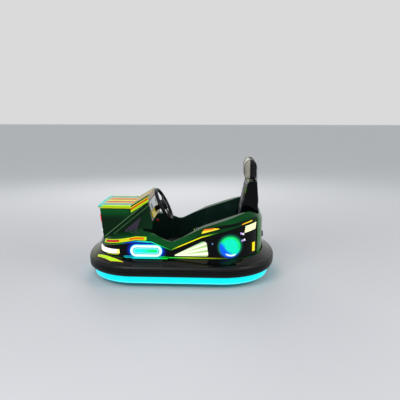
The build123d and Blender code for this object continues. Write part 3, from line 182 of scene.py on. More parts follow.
# Seat stuffing and its channels
CLOTH_PRESSURE = 4.0
CLOTH_FRAMES = 20
CHANNEL_WIDTH = 0.006
CUSHION_BORDER = 0.104
CUSHION_ROWS = (-0.155, -0.235, -0.315)
BACK_BORDER = 0.1
BACK_ROWS = (0.38, 0.46, 0.54, 0.62, 0.7)
HEADREST_SEAM_Y = 0.1
HEADREST_FOLD = 0.55
HEADREST_BEAD = 0.0028
BEAD_INSET = 0.016
PIPING_DROP = 0.018
PIPING_INSET = 0.024
PIPING_LIFT = 0.0012
PIPING_START = 0.1
PIPING_STEP = 0.02
PIPING_STEPS = 18
PIPING_CORNER = ((0.004, 0.012), (0.012, 0.004), (0.024, 0))

# Lap belt
BELT_X = -0.385
BELT_WIDTH = 0.038
BELT_THICKNESS = 0.0018
BELT_ENDS = (("left", 1, 0.022), ("right", -1, 0.05))
BELT_WRAP = ((0.0025, -0.06), (0.0025, -0.02), (0.002, -0.002), (-0.002, 0.0022))
BELT_WRAP += ((-0.01, 0.0025), (-0.0155, -0.001), (-0.019, -0.014))

# Belt fittings, as size, y, height over the cushion and bevel
BELT_BUCKLE = ((0.046, 0.06, 0.016), -0.026, 0.007, 0.0035)
BELT_BUTTON = ((0.026, 0.016, 0.004), -0.008, 0.0155, 0.0014)
BELT_TONGUE = ((0.034, 0.03, 0.0028), 0.014, 0.006, 0.0012)

# Screw heads, as radius and height
LID_SCREW = (0.005, 0.003)
STRAP_SCREW = (0.0065, 0.004)
SHELL_SCREW = (0.006, 0.0035)
PANEL_SCREW = (0.0042, 0.0025)
WHEEL_BOLT = (0.0045, 0.004)
HUB_SCREW = (0.0032, 0.002)
ANCHOR_BOLT = (0.009, 0.005)

# Places of the screws
LID_SCREW_X = (0.4, 0.5, 0.61)
LID_SCREW_Y = 0.185
STRAP_SCREW_Y = 0.07
STRAP_SCREW_Z = (0.775, 0.845)
SHELL_SCREW_PLACES = ((-0.2, 0.268), (-0.34, 0.268), (-0.45, 0.3))
PANEL_SCREW_PLACES = ((0.385, 0.315), (0.395, 0.226), (0.07, 0.25))
PANEL_SCREW_PLACES += ((-0.3, 0.385), (-0.285, 0.228), (-0.53, 0.372))
BOLT_CIRCLES = (
    ("rear_wheel_left", "rear_rim_left", 0.031, 1),
    ("rear_wheel_right", "rear_rim_right", 0.031, -1),
    ("drive_wheel", "drive_hub", 0.043, 1),
)
BOLTS = 5

# Footwell mat, pedal ribs and the charging socket's ring
MAT_SIZE = (0.325, 0.54, 0.004)
MAT_X = 0.1
MAT_BEVEL = 0.0015
MAT_RIB_SIZE = (0.007, 0.52, 0.004)
MAT_RIBS = 21
MAT_RIB_STEP = 0.015
MAT_RIB_START = -0.05
PEDAL_RUN = 0.112
PEDAL_RISE = 0.035
TREAD_SIZE = (0.006, 0.078, 0.004)
TREAD_BEVEL = 0.0012
TREADS = 6
SOCKET_PROFILE = ((0.0016, 0.021), (0.0008, 0.0196), (0.0, 0.0108), (-0.0012, 0.0098))

# Studio
FLOOR_SIZE = 60
FLOOR_FADE = (1.4, 5.0)
FAR_FLOOR = (0.84, 0.84, 0.84)
UNSEEN_FLOOR = (0.12, 0.12, 0.12)
SEEN_SKY = 0.7
FILL_COLOUR = (0.9, 0.95, 1.0, 1)
FILL_STRENGTH = 0.5
LAMP_SIZE = 2.4
STUDIO_LAMPS = {
    "key_light": ((1.6, 3.2, 3.4), 105),
    "fill_light": ((-3.2, 1.6, 2.6), 55),
    "back_light": ((0.6, -3.4, 3.0), 65),
}


def linear(red, green, blue):
    """A colour as it is seen on a screen, 0 to 255, turned to the linear values that shaders take."""

    def channel(value):
        part = value / 255
        if part <= 0.04045:
            return part / 12.92
        return ((part + 0.055) / 1.055) ** 2.4

    return (channel(red), channel(green), channel(blue))


def plan_y(x, inset):
    """Half width of the plan outline at x, moved in by inset."""
    reach = abs(x)
    if reach <= CORNER_X:
        return HALF_WIDTH - inset
    corner = CORNER_RADIUS - inset
    end = END_RADIUS - inset
    if reach <= END_X + end * math.cos(BLEND_ANGLE):
        return CORNER_Y + math.sqrt(max(corner**2 - (reach - CORNER_X) ** 2, 0))
    return math.sqrt(max(end**2 - (reach - END_X) ** 2, 0))


# Shader building


class Wire:
    """One output of a shader node. Arithmetic on it adds Math nodes."""

    def __init__(self, finish, socket):
        self.finish = finish
        self.socket = socket

    def math(self, operation, *others):
        inputs = dict(enumerate((self,) + others))
        return self.finish.node("Math", {"operation": operation}, inputs)

    def __add__(self, other):
        return self.math("ADD", other)

    __radd__ = __add__

    def __sub__(self, other):
        return self.math("SUBTRACT", other)

    def __rsub__(self, other):
        return self.finish.node("Math", {"operation": "SUBTRACT"}, {0: other, 1: self})

    def __mul__(self, other):
        return self.math("MULTIPLY", other)

    def __truediv__(self, other):
        return self.math("DIVIDE", other)

    def __mod__(self, other):
        return self.math("FLOORED_MODULO", other)

    def __abs__(self):
        return self.math("ABSOLUTE")

    def __and__(self, other):
        """Where both masks hold."""
        return self.math("MULTIPLY", other)

    def __or__(self, other):
        """Where either mask holds."""
        return self.math("MAXIMUM", other)

    def root(self):
        return self.math("SQRT")

    def wave(self):
        return self.math("SINE")

    def rise(self, low, high):
        """0 below low, 1 above high and smooth between them."""
        settings = {"interpolation_type": "SMOOTHSTEP"}
        inputs = {"Value": self, "From Min": low, "From Max": high}
        return self.finish.node("MapRange", settings, inputs)

    def between(self, low, high, soft):
        """1 from low to high, with soft edges."""
        return self.rise(low - soft, low + soft) & (1 - self.rise(high - soft, high + soft))


class Finish:
    """A material under construction, with its Principled shader ready."""

    def __init__(self, name):
        self.material = bpy.data.materials.new(name)
        self.material.use_nodes = True
        self.tree = self.material.node_tree
        self.shader = self.tree.nodes["Principled BSDF"]
        self.cache = {}

    def node(self, kind, settings=None, inputs=None, output=0):
        """Adds one node, gives it its settings first and then its inputs, and returns one output."""
        made = self.tree.nodes.new("ShaderNode" + kind)
        for key, value in (settings or {}).items():
            if key == "stops":
                ramp = made.color_ramp
                while len(ramp.elements) < len(value):
                    ramp.elements.new(1.0)
                for element, (position, colour) in zip(ramp.elements, value):
                    element.position = position
                    element.color = (*colour, 1.0)
            else:
                setattr(made, key, value)
        for key, value in (inputs or {}).items():
            self.plug(made.inputs[key], value)
        return Wire(self, made.outputs[output])

    def plug(self, socket, value):
        """Links a wire to a socket, or sets the socket's own value."""
        if isinstance(value, Wire):
            self.tree.links.new(value.socket, socket)
        elif socket.type == "RGBA":
            socket.default_value = (*value, 1.0)
        else:
            socket.default_value = value

    def set(self, **values):
        """Sets or links the Principled shader's sockets."""
        for key, value in values.items():
            self.plug(self.shader.inputs[key.replace("_", " ").title().replace("Ior", "IOR")], value)
        return self

    def place(self):
        """The x, y and z of the point, in metres in the car's frame."""
        if "place" not in self.cache:
            where = self.node("TexCoord", output="Object")
            self.cache["point"] = where
            split = self.node("SeparateXYZ", inputs={0: where})
            names = split.socket.node.outputs
            self.cache["place"] = tuple(Wire(self, names[axis]) for axis in "XYZ")
        return self.cache["place"]

    def point(self):
        """The point as a vector, in metres in the car's frame."""
        self.place()
        return self.cache["point"]

    def noise(self, scale, detail=2.0, stretch=None):
        """Soft noise from 0 to 1, stretched along the axes where asked for."""
        where = self.point()
        if stretch:
            where = self.node("Mapping", inputs={"Vector": where, "Scale": stretch})
        return self.node("TexNoise", inputs={"Vector": where, "Scale": scale, "Detail": detail})

    def cells(self, scale):
        """Cell pattern, as the distance to the cells' edges."""
        inputs = {"Vector": self.point(), "Scale": scale}
        return self.node("TexVoronoi", {"feature": "DISTANCE_TO_EDGE"}, inputs)

    def line(self, points):
        """Height of a side view line at the point's x. The line runs from the nose to the tail."""
        x = self.place()[0]
        height = points[0][1]
        for (start, low), (end, high) in zip(points, points[1:]):
            limits = {"From Min": start, "From Max": end, "To Min": 0.0, "To Max": high - low}
            height = self.node("MapRange", {}, {"Value": x, **limits}) + height
        return height

    def under(self, upper, lower, soft=0.0008):
        """1 between two side view lines."""
        z = self.place()[2]
        return (z - self.line(lower)).rise(-soft, soft) & (self.line(upper) - z).rise(-soft, soft)

    def blend(self, amount, first, second):
        """first where amount is 0 and second where it is 1, as colours."""
        mix = self.tree.nodes.new("ShaderNodeMix")
        mix.data_type = "RGBA"
        self.plug(mix.inputs["Factor"], amount)
        self.plug(mix.inputs[6], first)
        self.plug(mix.inputs[7], second)
        return Wire(self, mix.outputs[2])

    def layers(self, colour, *tones):
        """A colour with further ones laid over it, each through its mask."""
        for mask, tone in tones:
            colour = self.blend(mask, colour, tone)
        return colour

    def ramp(self, amount, stops):
        """Colours along a value from 0 to 1."""
        return self.node("ValToRGB", {"stops": stops}, {"Fac": amount})

    def bump(self, height, distance, strength=1.0):
        """Feeds a height to the shader's normal."""
        inputs = {"Height": height, "Distance": distance, "Strength": strength}
        self.plug(self.shader.inputs["Normal"], self.node("Bump", inputs=inputs))
        return self


# Finishes


def gel_coat(name, colour, marks=(), depth=0.35):
    """Glossy moulded bodywork: faint orange peel, smudges and a patchy tone, with its painted marks."""
    finish = Finish(name)
    shade = finish.noise(2.2, 3.0)
    dark = tuple(part * (1 - depth) for part in colour)
    light = tuple(min(part * (1 + depth), 1) for part in colour)
    smudge = finish.noise(9.0, 5.0).rise(0.45, 0.75)
    paint = finish.blend(shade.rise(0.3, 0.7), dark, light)
    finish.set(
        base_color=finish.layers(paint, *((mark(finish), tone) for mark, tone in marks)),
        roughness=0.13 + smudge * 0.1,
        coat_weight=0.05,
        coat_roughness=0.05,
        specular_ior_level=0.08,
    )
    finish.bump(finish.noise(190.0, 2.0), 0.0004, 0.25)
    return finish


def black_gloss(name, spill=None, spill_level=1.0):
    """Black gloss plastic with a few hairline scratches and smudges, and the lamps' spill painted on it
    as a glow.
    """
    finish = Finish(name)
    scratch = finish.noise(60.0, 3.0, (0.3, 1.0, 9.0)).rise(0.66, 0.72)
    smudge = finish.noise(12.0, 4.0).rise(0.5, 0.8)
    finish.set(
        base_color=finish.blend(scratch * 0.4, linear(4, 6, 9), linear(34, 38, 44)),
        roughness=0.08 + smudge * 0.12 + scratch * 0.15,
        specular_ior_level=0.1,
    )
    if spill:
        finish.set(emission_color=spill(finish), emission_strength=spill_level)
    return finish


def rubber(name, marks):
    """Hard black bumper rubber with a polished crown, scuffed along its face, with its painted marks."""
    finish = Finish(name)
    z = finish.place()[2]
    grain = finish.noise(420.0, 2.0)
    crown = z.rise(0.165, 0.185)
    scuff = finish.noise(26.0, 5.0, (0.5, 0.5, 7.0)).rise(0.56, 0.72) & (1 - crown * 0.6)
    paint = finish.blend(scuff * 0.35, linear(7, 8, 9), linear(46, 46, 48))
    finish.set(
        base_color=finish.layers(paint, *((mark(finish), tone) for mark, tone in marks)),
        roughness=0.36 - crown * 0.3 + scuff * 0.2 + grain * (1 - crown) * 0.06,
        specular_ior_level=0.22,
    )
    finish.bump(grain * (1 - crown), 0.0006, 0.3)
    return finish


def grained_plastic(name, colour, scale=260.0):
    """Moulded plastic with a fine leather grain."""
    finish = Finish(name)
    grain = finish.cells(scale)
    wear = finish.noise(7.0, 4.0).rise(0.5, 0.75)
    pale = tuple(part * 1.8 + 0.01 for part in colour)
    finish.set(
        base_color=finish.blend(wear * 0.4, colour, pale),
        roughness=0.46 + wear * 0.15,
        specular_ior_level=0.12,
    )
    finish.bump(grain, 0.0008, 0.4)
    return finish


def painted_steel(name, colour):
    """Sprayed steel, with chips and a little rust showing at them."""
    finish = Finish(name)
    chips = finish.noise(55.0, 6.0).rise(0.68, 0.72)
    dust = finish.noise(6.0, 4.0).rise(0.4, 0.8)
    paint = finish.blend(dust * 0.35, colour, linear(84, 80, 74))
    finish.set(
        base_color=finish.blend(chips, paint, linear(96, 62, 44)),
        roughness=0.4 + dust * 0.25,
        metallic=chips * 0.4,
    )
    finish.bump(finish.noise(150.0, 2.0), 0.0005, 0.3)
    return finish


def bright_metal(name, colour, roughness, brushed=0.0):
    """Bare metal, brushed where asked for."""
    finish = Finish(name)
    streak = finish.noise(30.0, 4.0, (1.0, 30.0, 30.0))
    stain = finish.noise(14.0, 4.0).rise(0.5, 0.8)
    dull = tuple(part * 0.7 for part in colour)
    finish.set(
        base_color=finish.blend(stain * 0.4, colour, dull),
        roughness=roughness + streak * brushed + stain * 0.08,
        metallic=1.0,
    )
    return finish


def tyre_rubber(name):
    """Solid tyre rubber with floor dust on its tread."""
    finish = Finish(name)
    dust = finish.noise(40.0, 4.0).rise(0.4, 0.7)
    finish.set(
        base_color=finish.blend(dust * 0.5, linear(26, 26, 27), linear(74, 70, 66)),
        roughness=0.7 + dust * 0.15,
    )
    finish.bump(finish.noise(300.0, 2.0), 0.0008, 0.5)
    return finish


def lit(name, shade, strength=0.95):
    """A lit diffuser. shade gives its colour, from the finish."""
    finish = Finish(name)
    colour = shade(finish)
    cloud = finish.noise(30.0, 2.0).rise(0.2, 0.8)
    body = finish.blend(0.75, colour, (0.0, 0.0, 0.0))
    finish.set(
        base_color=body,
        emission_color=finish.blend(cloud * 0.12, colour, body),
        emission_strength=strength,
        roughness=0.28,
        specular_ior_level=0.25,
    )
    return finish


def line_light(name, stops, strength=0.95):
    """A lit strip whose colour changes along the car. Stops are x and a screen colour, from the tail."""

    def shade(finish):
        x = finish.place()[0]
        start, end = stops[0][0], stops[-1][0]
        reach = end - start
        shares = [((at - start) / reach, linear(*colour)) for at, colour in stops]
        return finish.ramp((x - start) / reach, shares)

    return lit(name, shade, strength)


def vinyl(name, colour, pale_front=None):
    """Seat vinyl with pebble grain, soft sheen and creases, and a pale cover before x pale_front."""
    finish = Finish(name)
    grain = finish.cells(330.0)
    crease = finish.noise(24.0, 5.0).rise(0.55, 0.62)
    worn = finish.noise(5.0, 3.0).rise(0.45, 0.75)
    pale = tuple(part * 1.5 + 0.006 for part in colour)
    cover = finish.blend(worn * 0.5, colour, pale)
    if pale_front is not None:
        x = finish.place()[0]
        front = x.rise(pale_front - 0.001, pale_front + 0.001)
        grime = finish.noise(9.0, 4.0)
        cloth = finish.blend(grime, linear(190, 187, 172), linear(128, 126, 118))
        cover = finish.blend(front, cover, cloth)
    finish.set(
        base_color=cover,
        roughness=0.34 + worn * 0.14,
        sheen_weight=0.03,
        specular_ior_level=0.14,
    )
    finish.bump(grain * 0.7 + crease * 0.3, 0.0009, 0.45)
    return finish


def webbing(name, colour):
    """Woven strap: fine ribs across it, in darker and lighter stripes."""
    finish = Finish(name)
    _, y, z = finish.place()
    rib = ((z + y * 0.2) * 2400.0).wave()
    dark = tuple(part * 0.45 for part in colour)
    finish.set(
        base_color=finish.blend(rib.rise(-1.0, 1.0) * 0.35, colour, dark),
        roughness=0.75,
        sheen_weight=0.2,
    )
    finish.bump(rib, 0.0004, 0.5)
    return finish


def switch_finish(name):
    """Red where the push button is, bright metal elsewhere."""
    finish = Finish(name)
    metal = finish.place()[2].rise(0.41, 0.415)
    finish.set(
        base_color=finish.blend(metal, linear(214, 20, 30), linear(222, 224, 228)),
        metallic=metal,
        roughness=0.14 + (1 - metal) * 0.2,
    )
    return finish


# Marks and lit shades


def distance(across, up):
    """Distance from a middle."""
    return (across * across + up * up).root()


def from_capsule(x, z):
    """Distance from the capsule lamp's middle line."""
    return distance((abs(x - CAPSULE[0]) - CAPSULE_HALF).math("MAXIMUM", 0.0), z - CAPSULE[1])


def past_beams(x, z):
    """Distance from the line of the nose's beams, square to it."""
    return (x - BEAM_FOOT[0]) * BEAM_ACROSS[0] + (z - BEAM_FOOT[1]) * BEAM_ACROSS[1]


def fender_stripe(low, high, start, end):
    """A stripe under the ridge over the front wheel, between two steps down from the ridge."""

    def mark(finish):
        x = finish.place()[0]
        return finish.under(raised(RIDGE, high), raised(RIDGE, low)) & x.between(start, end, 0.002)

    return mark


def rail_groove_painted_shade(finish):
    """Painted shade: dark paint in the groove over the rear rail's lip."""
    x = finish.place()[0]
    return finish.under(RAIL_FOLD, RAIL_LIP) & x.between(-0.6, -0.19, 0.003)


def rear_corner_painted_light(finish):
    """Painted light: a brighter green on the tail's corners, strongest at the sides and fading out
    upwards.
    """
    x, y, z = finish.place()
    corner = (1 - x.rise(-0.64, -0.585)) & (0.3 + abs(y).rise(0.08, 0.34) * 0.7)
    return corner * (1 - z.rise(0.47, 0.54)) * 0.95


def beam_edge_highlight(offset):
    """A painted highlight along one of the nose's beams, at an offset square to them."""

    def mark(finish):
        x, y, z = finish.place()
        side = abs(y).rise(0.17, 0.18)
        return past_beams(x, z).between(offset - 0.0035, offset, 0.0008) & side * 0.75

    return mark


def under_lid_painted_light(finish):
    """Painted light: a brighter green on the upper front of the cheek under the lid."""
    x, _, z = finish.place()
    return z.rise(0.455, 0.53) & x.rise(0.36, 0.42) * 0.6


def nose_recess(finish):
    """The dark face inside the cheek's recess."""
    x, y, z = finish.place()
    inside = 1 - (abs(y) + z * 0.1646).rise(0.286, 0.288)
    return inside & (1 - past_beams(x, z).rise(-0.052, -0.05)) & x.between(0.3, 0.5, 0.004)


def lengthwise(low, high):
    """A stripe along the top of the lid and the cowl, the same on both sides."""

    def mark(finish):
        _, y, z = finish.place()
        return abs(y).between(low, high, 0.001) & z.rise(0.559, 0.562)

    return mark


def lid_side_line(finish):
    """The yellow line round the foot of the lid."""
    z = finish.place()[2]
    return 1 - z.rise(LID_LOW + 0.006, LID_LOW + 0.008)


def lid_front_corner(finish):
    """The cyan of the lid's front end."""
    return finish.place()[0].rise(0.59, 0.64)


def cowl_band(low, high):
    """A band along the cowl's side, from share low to share high of its height."""

    def mark(finish):
        _, y, z = finish.place()
        foot = finish.line(COWL_LOW)
        share = (z - foot) / (finish.line(COWL_HIGH) - foot)
        side = (abs(y) + z * 0.188).rise(0.311, 0.313)
        return share.between(low, high, 0.02) & side

    return mark


def nose_reflection(finish):
    """A painted reflection: olive on the bumper's nose."""
    x, _, z = finish.place()
    return x.rise(0.6, 0.7) & z.rise(0.15, 0.19) * 0.8


def crown_wedge_reflection(inset):
    """A painted reflection on the bumper's crown beside the headlamp: a wedge, moved in by inset."""

    def mark(finish):
        x, y, z = finish.place()
        inner = finish.line(WEDGE_INNER)
        out = abs(y) - inner
        wide = finish.line(WEDGE_OUTER) - inner
        across = out.rise(inset, inset + 0.001) & (wide - out).rise(inset, inset + 0.001)
        ends = x.between(WEDGE_OUTER[-1][0] + 2 * inset, WEDGE_OUTER[0][0] - inset, 0.001)
        return across & ends & z.rise(BUMPER_TOP - 0.03, BUMPER_TOP - 0.025)

    return mark


def lamp_spill(finish):
    """Painted light: a glow on the gloss panel round the capsule and disc lamps, for the light they
    throw on it.
    """
    x, _, z = finish.place()
    reach = from_capsule(x, z)
    near = 1 - reach.rise(0.038, 0.092)
    round_disc = 1 - distance(x - DISC[0], z - DISC[1]).rise(0.08, 0.112)
    return finish.layers(
        (0.0, 0.0, 0.0),
        (near * near, linear(0, 46, 214)),
        ((1 - reach.rise(0.038, 0.056)) * 0.6, linear(0, 150, 230)),
        (round_disc * round_disc * 0.55, linear(0, 96, 96)),
    )


def capsule_shade(finish):
    """White tube and rings of the capsule lamp round its cyan and green heart."""
    x, _, z = finish.place()
    reach = from_capsule(x, z)
    return finish.layers(
        linear(0, 224, 96),
        ((x - CAPSULE[0]).rise(-0.05, 0.05), linear(0, 236, 226)),
        (reach.rise(0.008, 0.01), linear(0, 206, 196)),
        (reach.rise(0.014, 0.0155), linear(150, 246, 246)),
        (reach.rise(0.019, 0.0205), linear(0, 176, 182)),
        (reach.rise(0.0265, 0.0285), linear(246, 255, 255)),
        (reach.rise(0.039, 0.0455), linear(60, 236, 236)),
    )


def fan_shade(finish):
    """Mint base of the fan lamp with white ribs that have cream edges."""
    x, _, z = finish.place()
    run = ((FAN_TIP[0] - x) / (FAN_TIP[0] - FAN_END)).math("MAXIMUM", 0.02)
    share = (z - FAN_TIP[1]) / (run * FAN_SPREAD)
    rib = (share * 3.0) % 1.0
    dark = share.rise(0.86, 1.0) & run.rise(0.6, 1.0)
    return finish.layers(
        linear(206, 240, 190),
        (run.rise(0.2, 1.0), linear(158, 208, 148)),
        (rib.between(0.2, 0.8, 0.03), linear(250, 240, 150)),
        (rib.between(0.33, 0.7, 0.04), linear(248, 255, 248)),
        (dark * 0.5, linear(110, 170, 120)),
    )


def wedge_shade(finish):
    """Yellow wedge on the rail, orange along its top in front."""
    x, _, z = finish.place()
    top = (z - finish.line(RAIL_WEDGE_TONES)).rise(-0.004, 0.004)
    return finish.blend(top & x.rise(-0.29, -0.26), linear(250, 222, 0), linear(250, 112, 8))


def disc_shade(finish):
    """Cyan disc with faint rings: green round it, blue low down and a painted highlight, a white arc, at
    the foot.
    """
    x, _, z = finish.place()
    across = x - DISC[0]
    up = z - DISC[1]
    reach = distance(across, up)
    rings = (reach * 520.0).wave().rise(-0.2, 0.9)
    green = reach.rise(0.05, 0.07) & (up - across * 0.3).rise(-0.03, 0.02)
    blue = (across * 0.75 - up * 0.66).rise(0.012, 0.045) & reach.rise(0.02, 0.045)
    # Painted highlight: a white arc at the disc's foot.
    crescent_highlight = distance(across + 0.012, up + 0.004).between(0.058, 0.07, 0.003)
    foot = 1 - (up + abs(across) * 0.45).rise(-0.05, -0.034)
    return finish.layers(
        linear(0, 232, 176),
        (rings * 0.55, linear(0, 214, 226)),
        (green, linear(0, 222, 110)),
        (blue, linear(0, 92, 240)),
        (crescent_highlight & foot, linear(226, 255, 255)),
    )


def ring_shade(finish):
    """Green rim of the disc lamp, blue at its foot."""
    z = finish.place()[2]
    return finish.blend((z - DISC[1]).rise(-0.07, -0.03), linear(0, 60, 170), linear(0, 120, 74))


def headlamp_shade(finish):
    """White headlamp with a pale yellow segment at its rear end."""
    x, _, z = finish.place()
    white = finish.blend(z.rise(0.215, 0.25), linear(255, 252, 214), linear(255, 255, 252))
    return finish.blend(x.rise(0.4605, 0.4625), linear(246, 240, 120), white)


def tail_shade(finish):
    """White slats of the tail lamp with yellow between them."""
    x, _, z = finish.place()
    low = (x - TAIL_LOW[0]) * TAIL_SLOPE + TAIL_LOW[1]
    share = (((z - low) / TAIL_HEIGHT) * 4.0) % 1.0
    return finish.blend(share.between(0.2, 0.8, 0.05), linear(70, 84, 0), linear(255, 255, 200))


def marker_shade(finish):
    """Plain yellow."""
    return linear(250, 226, 0)


def nose_lamp_shade(finish):
    """Red upright strip above two white spots."""
    z = finish.place()[2]
    return finish.blend(z.rise(0.395, 0.4), linear(250, 250, 255), linear(236, 24, 62))


def dash_shade(finish):
    """White upper and yellow lower dash face with a dark round gauge on each side."""
    _, y, z = finish.place()
    reach = distance(abs(y) - 0.108, (z - 0.545) * 1.1)
    return finish.layers(
        linear(236, 214, 40),
        (z.rise(0.512, 0.516), linear(232, 236, 238)),
        (1 - reach.rise(0.024, 0.0255), linear(28, 30, 34)),
        (reach.between(0.018, 0.02, 0.0006), linear(230, 232, 236)),
        (z.between(0.511, 0.5135, 0.0008), linear(20, 22, 24)),
    )


# Modelling


def coat(node, finish):
    """Gives a CAD node its finish."""
    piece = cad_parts[node]
    piece.data.materials.clear()
    piece.data.materials.append(finish.material)


def skin(*nodes):
    """The joined surface of some CAD nodes, to lay trim on."""
    points, faces = [], []
    for node in nodes:
        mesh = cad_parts[node].data
        start = len(points)
        points += [vertex.co.copy() for vertex in mesh.vertices]
        faces += [[start + index for index in face.vertices] for face in mesh.polygons]
    return BVHTree.FromPolygons(points, faces)


def side_of(tree, x, z, fallback):
    """How far out the skin lies at a side view point."""
    spot, _, _, _ = tree.ray_cast(Vector((x, 2 * HALF_WIDTH, z)), Vector((0, -1, 0)))
    if spot is None or spot.y < plan_y(x, 0.2):
        return fallback
    return spot.y


def outward(tree, x, z):
    """A spot on a side panel at a side view point, and its outward direction."""
    spot, normal, _, _ = tree.ray_cast(Vector((x, 2 * HALF_WIDTH, z)), Vector((0, -1, 0)))
    if normal.y < 0:
        normal = -normal
    return tuple(spot), tuple(normal)


def height_at(points, x):
    """Height of a side view line at x."""
    for (start, low), (end, high) in zip(points, points[1:]):
        if end <= x <= start:
            return low + (high - low) * (start - x) / (start - end)
    return points[-1][1] if x < points[-1][0] else points[0][1]


def flat_band(start, end, top, foot):
    """The level upper and lower lines of a band."""
    return ((start, top), (end, top)), ((start, foot), (end, foot))


def raised(points, step):
    """A side view line moved up by step."""
    return tuple((x, z + step) for x, z in points)


def select_all_of(piece):
    """Makes one piece the only selected and active object."""
    bpy.ops.object.select_all(action="DESELECT")
    piece.select_set(True)
    bpy.context.view_layer.objects.active = piece


def apply_all(piece):
    """Applies a piece's modifiers in order."""
    select_all_of(piece)
    for modifier in list(piece.modifiers):
        bpy.ops.object.modifier_apply(modifier=modifier.name)


def settle(piece, name, finish, body="root", angle=35, clean=True):
    """Finishes a piece: place into its mesh, outward faces, smooth shading, finish and body."""
    select_all_of(piece)
    bpy.ops.object.transform_apply(location=True, rotation=True, scale=True)
    if clean:
        bpy.ops.object.mode_set(mode="EDIT")
        bpy.ops.mesh.select_all(action="SELECT")
        bpy.ops.mesh.remove_doubles(threshold=0.00005)
        bpy.ops.mesh.normals_make_consistent(inside=False)
        bpy.ops.object.mode_set(mode="OBJECT")
    bpy.ops.object.shade_smooth_by_angle(angle=math.radians(angle))
    piece.name = name
    piece.data.name = name
    piece.data.materials.clear()
    piece.data.materials.append(finish.material)
    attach(piece, body)
    return piece


def mirrored(piece):
    """Gives a piece its like on the car's other side."""
    modifier = piece.modifiers.new("mirror", "MIRROR")
    modifier.use_axis = (False, True, False)
    modifier.use_mirror_merge = False
    apply_all(piece)
    return piece


def side_strip(name, upper, lower, tree, thickness, finish, rows=2, spacing=0.012):
    """A thin band on both sides of the car, laid on a skin between two side view lines."""
    start = min(upper[0][0], lower[0][0])
    end = max(upper[-1][0], lower[-1][0])
    places = {start, end} | {x for x, _ in upper + lower if end < x < start}
    count = max(int((start - end) / spacing), 1)
    places |= {start + (end - start) * index / count for index in range(count)}
    places = sorted(places, reverse=True)
    columns = len(places) - 1
    bpy.ops.object.select_all(action="DESELECT")
    bpy.ops.mesh.primitive_grid_add(x_subdivisions=columns, y_subdivisions=rows, size=1)
    piece = bpy.context.object
    last = [plan_y(place, 0.1) for place in places]
    order = sorted(piece.data.vertices, key=lambda vertex: vertex.co.y)
    for vertex in order:
        column = round((vertex.co.x + 0.5) * columns)
        share = vertex.co.y + 0.5
        x = places[column]
        low, high = height_at(lower, x), height_at(upper, x)
        z = low + (high - low) * share
        last[column] = side_of(tree, x, z, last[column])
        vertex.co = (x, last[column], z)
    wall = piece.modifiers.new("wall", "SOLIDIFY")
    wall.thickness = thickness
    wall.offset = 1.0
    edge = piece.modifiers.new("edge", "BEVEL")
    edge.width = thickness * 0.35
    edge.segments = 2
    apply_all(piece)
    mirrored(piece)
    return settle(piece, name, finish)


def joined(pieces):
    """Makes several pieces one."""
    bpy.ops.object.select_all(action="DESELECT")
    for piece in pieces:
        piece.select_set(True)
    bpy.context.view_layer.objects.active = pieces[0]
    bpy.ops.object.join()
    return bpy.context.object


def copies(template, places):
    """Joined copies of a template, each at a place and turned so that its Z points along a direction."""
    made = []
    for place, direction in places:
        piece = template.copy()
        piece.data = template.data.copy()
        bpy.context.scene.collection.objects.link(piece)
        turn = Vector(direction).to_track_quat("Z", "Y").to_matrix().to_4x4()
        piece.matrix_world = Matrix.Translation(place) @ turn
        made.append(piece)
    bpy.data.objects.remove(template, do_unlink=True)
    return joined(made)


def both_sides(places):
    """Places with directions on both sides of the car."""
    other = [((x, -y, z), (dx, -dy, dz)) for (x, y, z), (dx, dy, dz) in places]
    return list(places) + other


def turned(radius, profile, segments=24):
    """A turned piece along Z from a circle: profile is a list of rise and radius, from the foot up."""
    bpy.ops.object.select_all(action="DESELECT")
    bpy.ops.mesh.primitive_circle_add(vertices=segments, radius=radius, fill_type="NGON")
    piece = bpy.context.object
    bpy.ops.object.mode_set(mode="EDIT")
    bpy.ops.mesh.select_all(action="SELECT")
    last = radius
    for rise, wide in profile:
        bpy.ops.mesh.extrude_region_move(TRANSFORM_OT_translate={"value": (0, 0, rise)})
        scale = wide / last
        bpy.ops.transform.resize(value=(scale, scale, 1), center_override=piece.location)
        last = wide
    bpy.ops.object.mode_set(mode="OBJECT")
    return piece


def screw_head(radius, height, socket=True):
    """A domed screw head with a round socket."""
    dome = ((0.55, 1.0), (0.3, 0.86), (0.15, 0.6))
    piece = turned(radius, [(height * rise, radius * wide) for rise, wide in dome])
    if socket:
        select_all_of(piece)
        bpy.ops.object.mode_set(mode="EDIT")
        bpy.ops.mesh.extrude_region_move(TRANSFORM_OT_translate={"value": (0, 0, 0)})
        bpy.ops.transform.resize(value=(0.7, 0.7, 1), center_override=(0, 0, 0))
        bpy.ops.mesh.extrude_region_move(TRANSFORM_OT_translate={"value": (0, 0, -height * 0.5)})
        bpy.ops.object.mode_set(mode="OBJECT")
    return piece


def screws(name, size, places, finish, body="root"):
    """One piece of like screw heads at places with directions."""
    return settle(copies(screw_head(*size), places), name, finish, body)


def rounded_box(size, place, bevel, segments=3):
    """A box with rounded edges, as a start for shaping."""
    bpy.ops.object.select_all(action="DESELECT")
    bpy.ops.mesh.primitive_cube_add(size=1, location=place, scale=size)
    piece = bpy.context.object
    bpy.ops.object.transform_apply(location=False, rotation=False, scale=True)
    edge = piece.modifiers.new("edge", "BEVEL")
    edge.width = bevel
    edge.segments = segments
    apply_all(piece)
    return piece


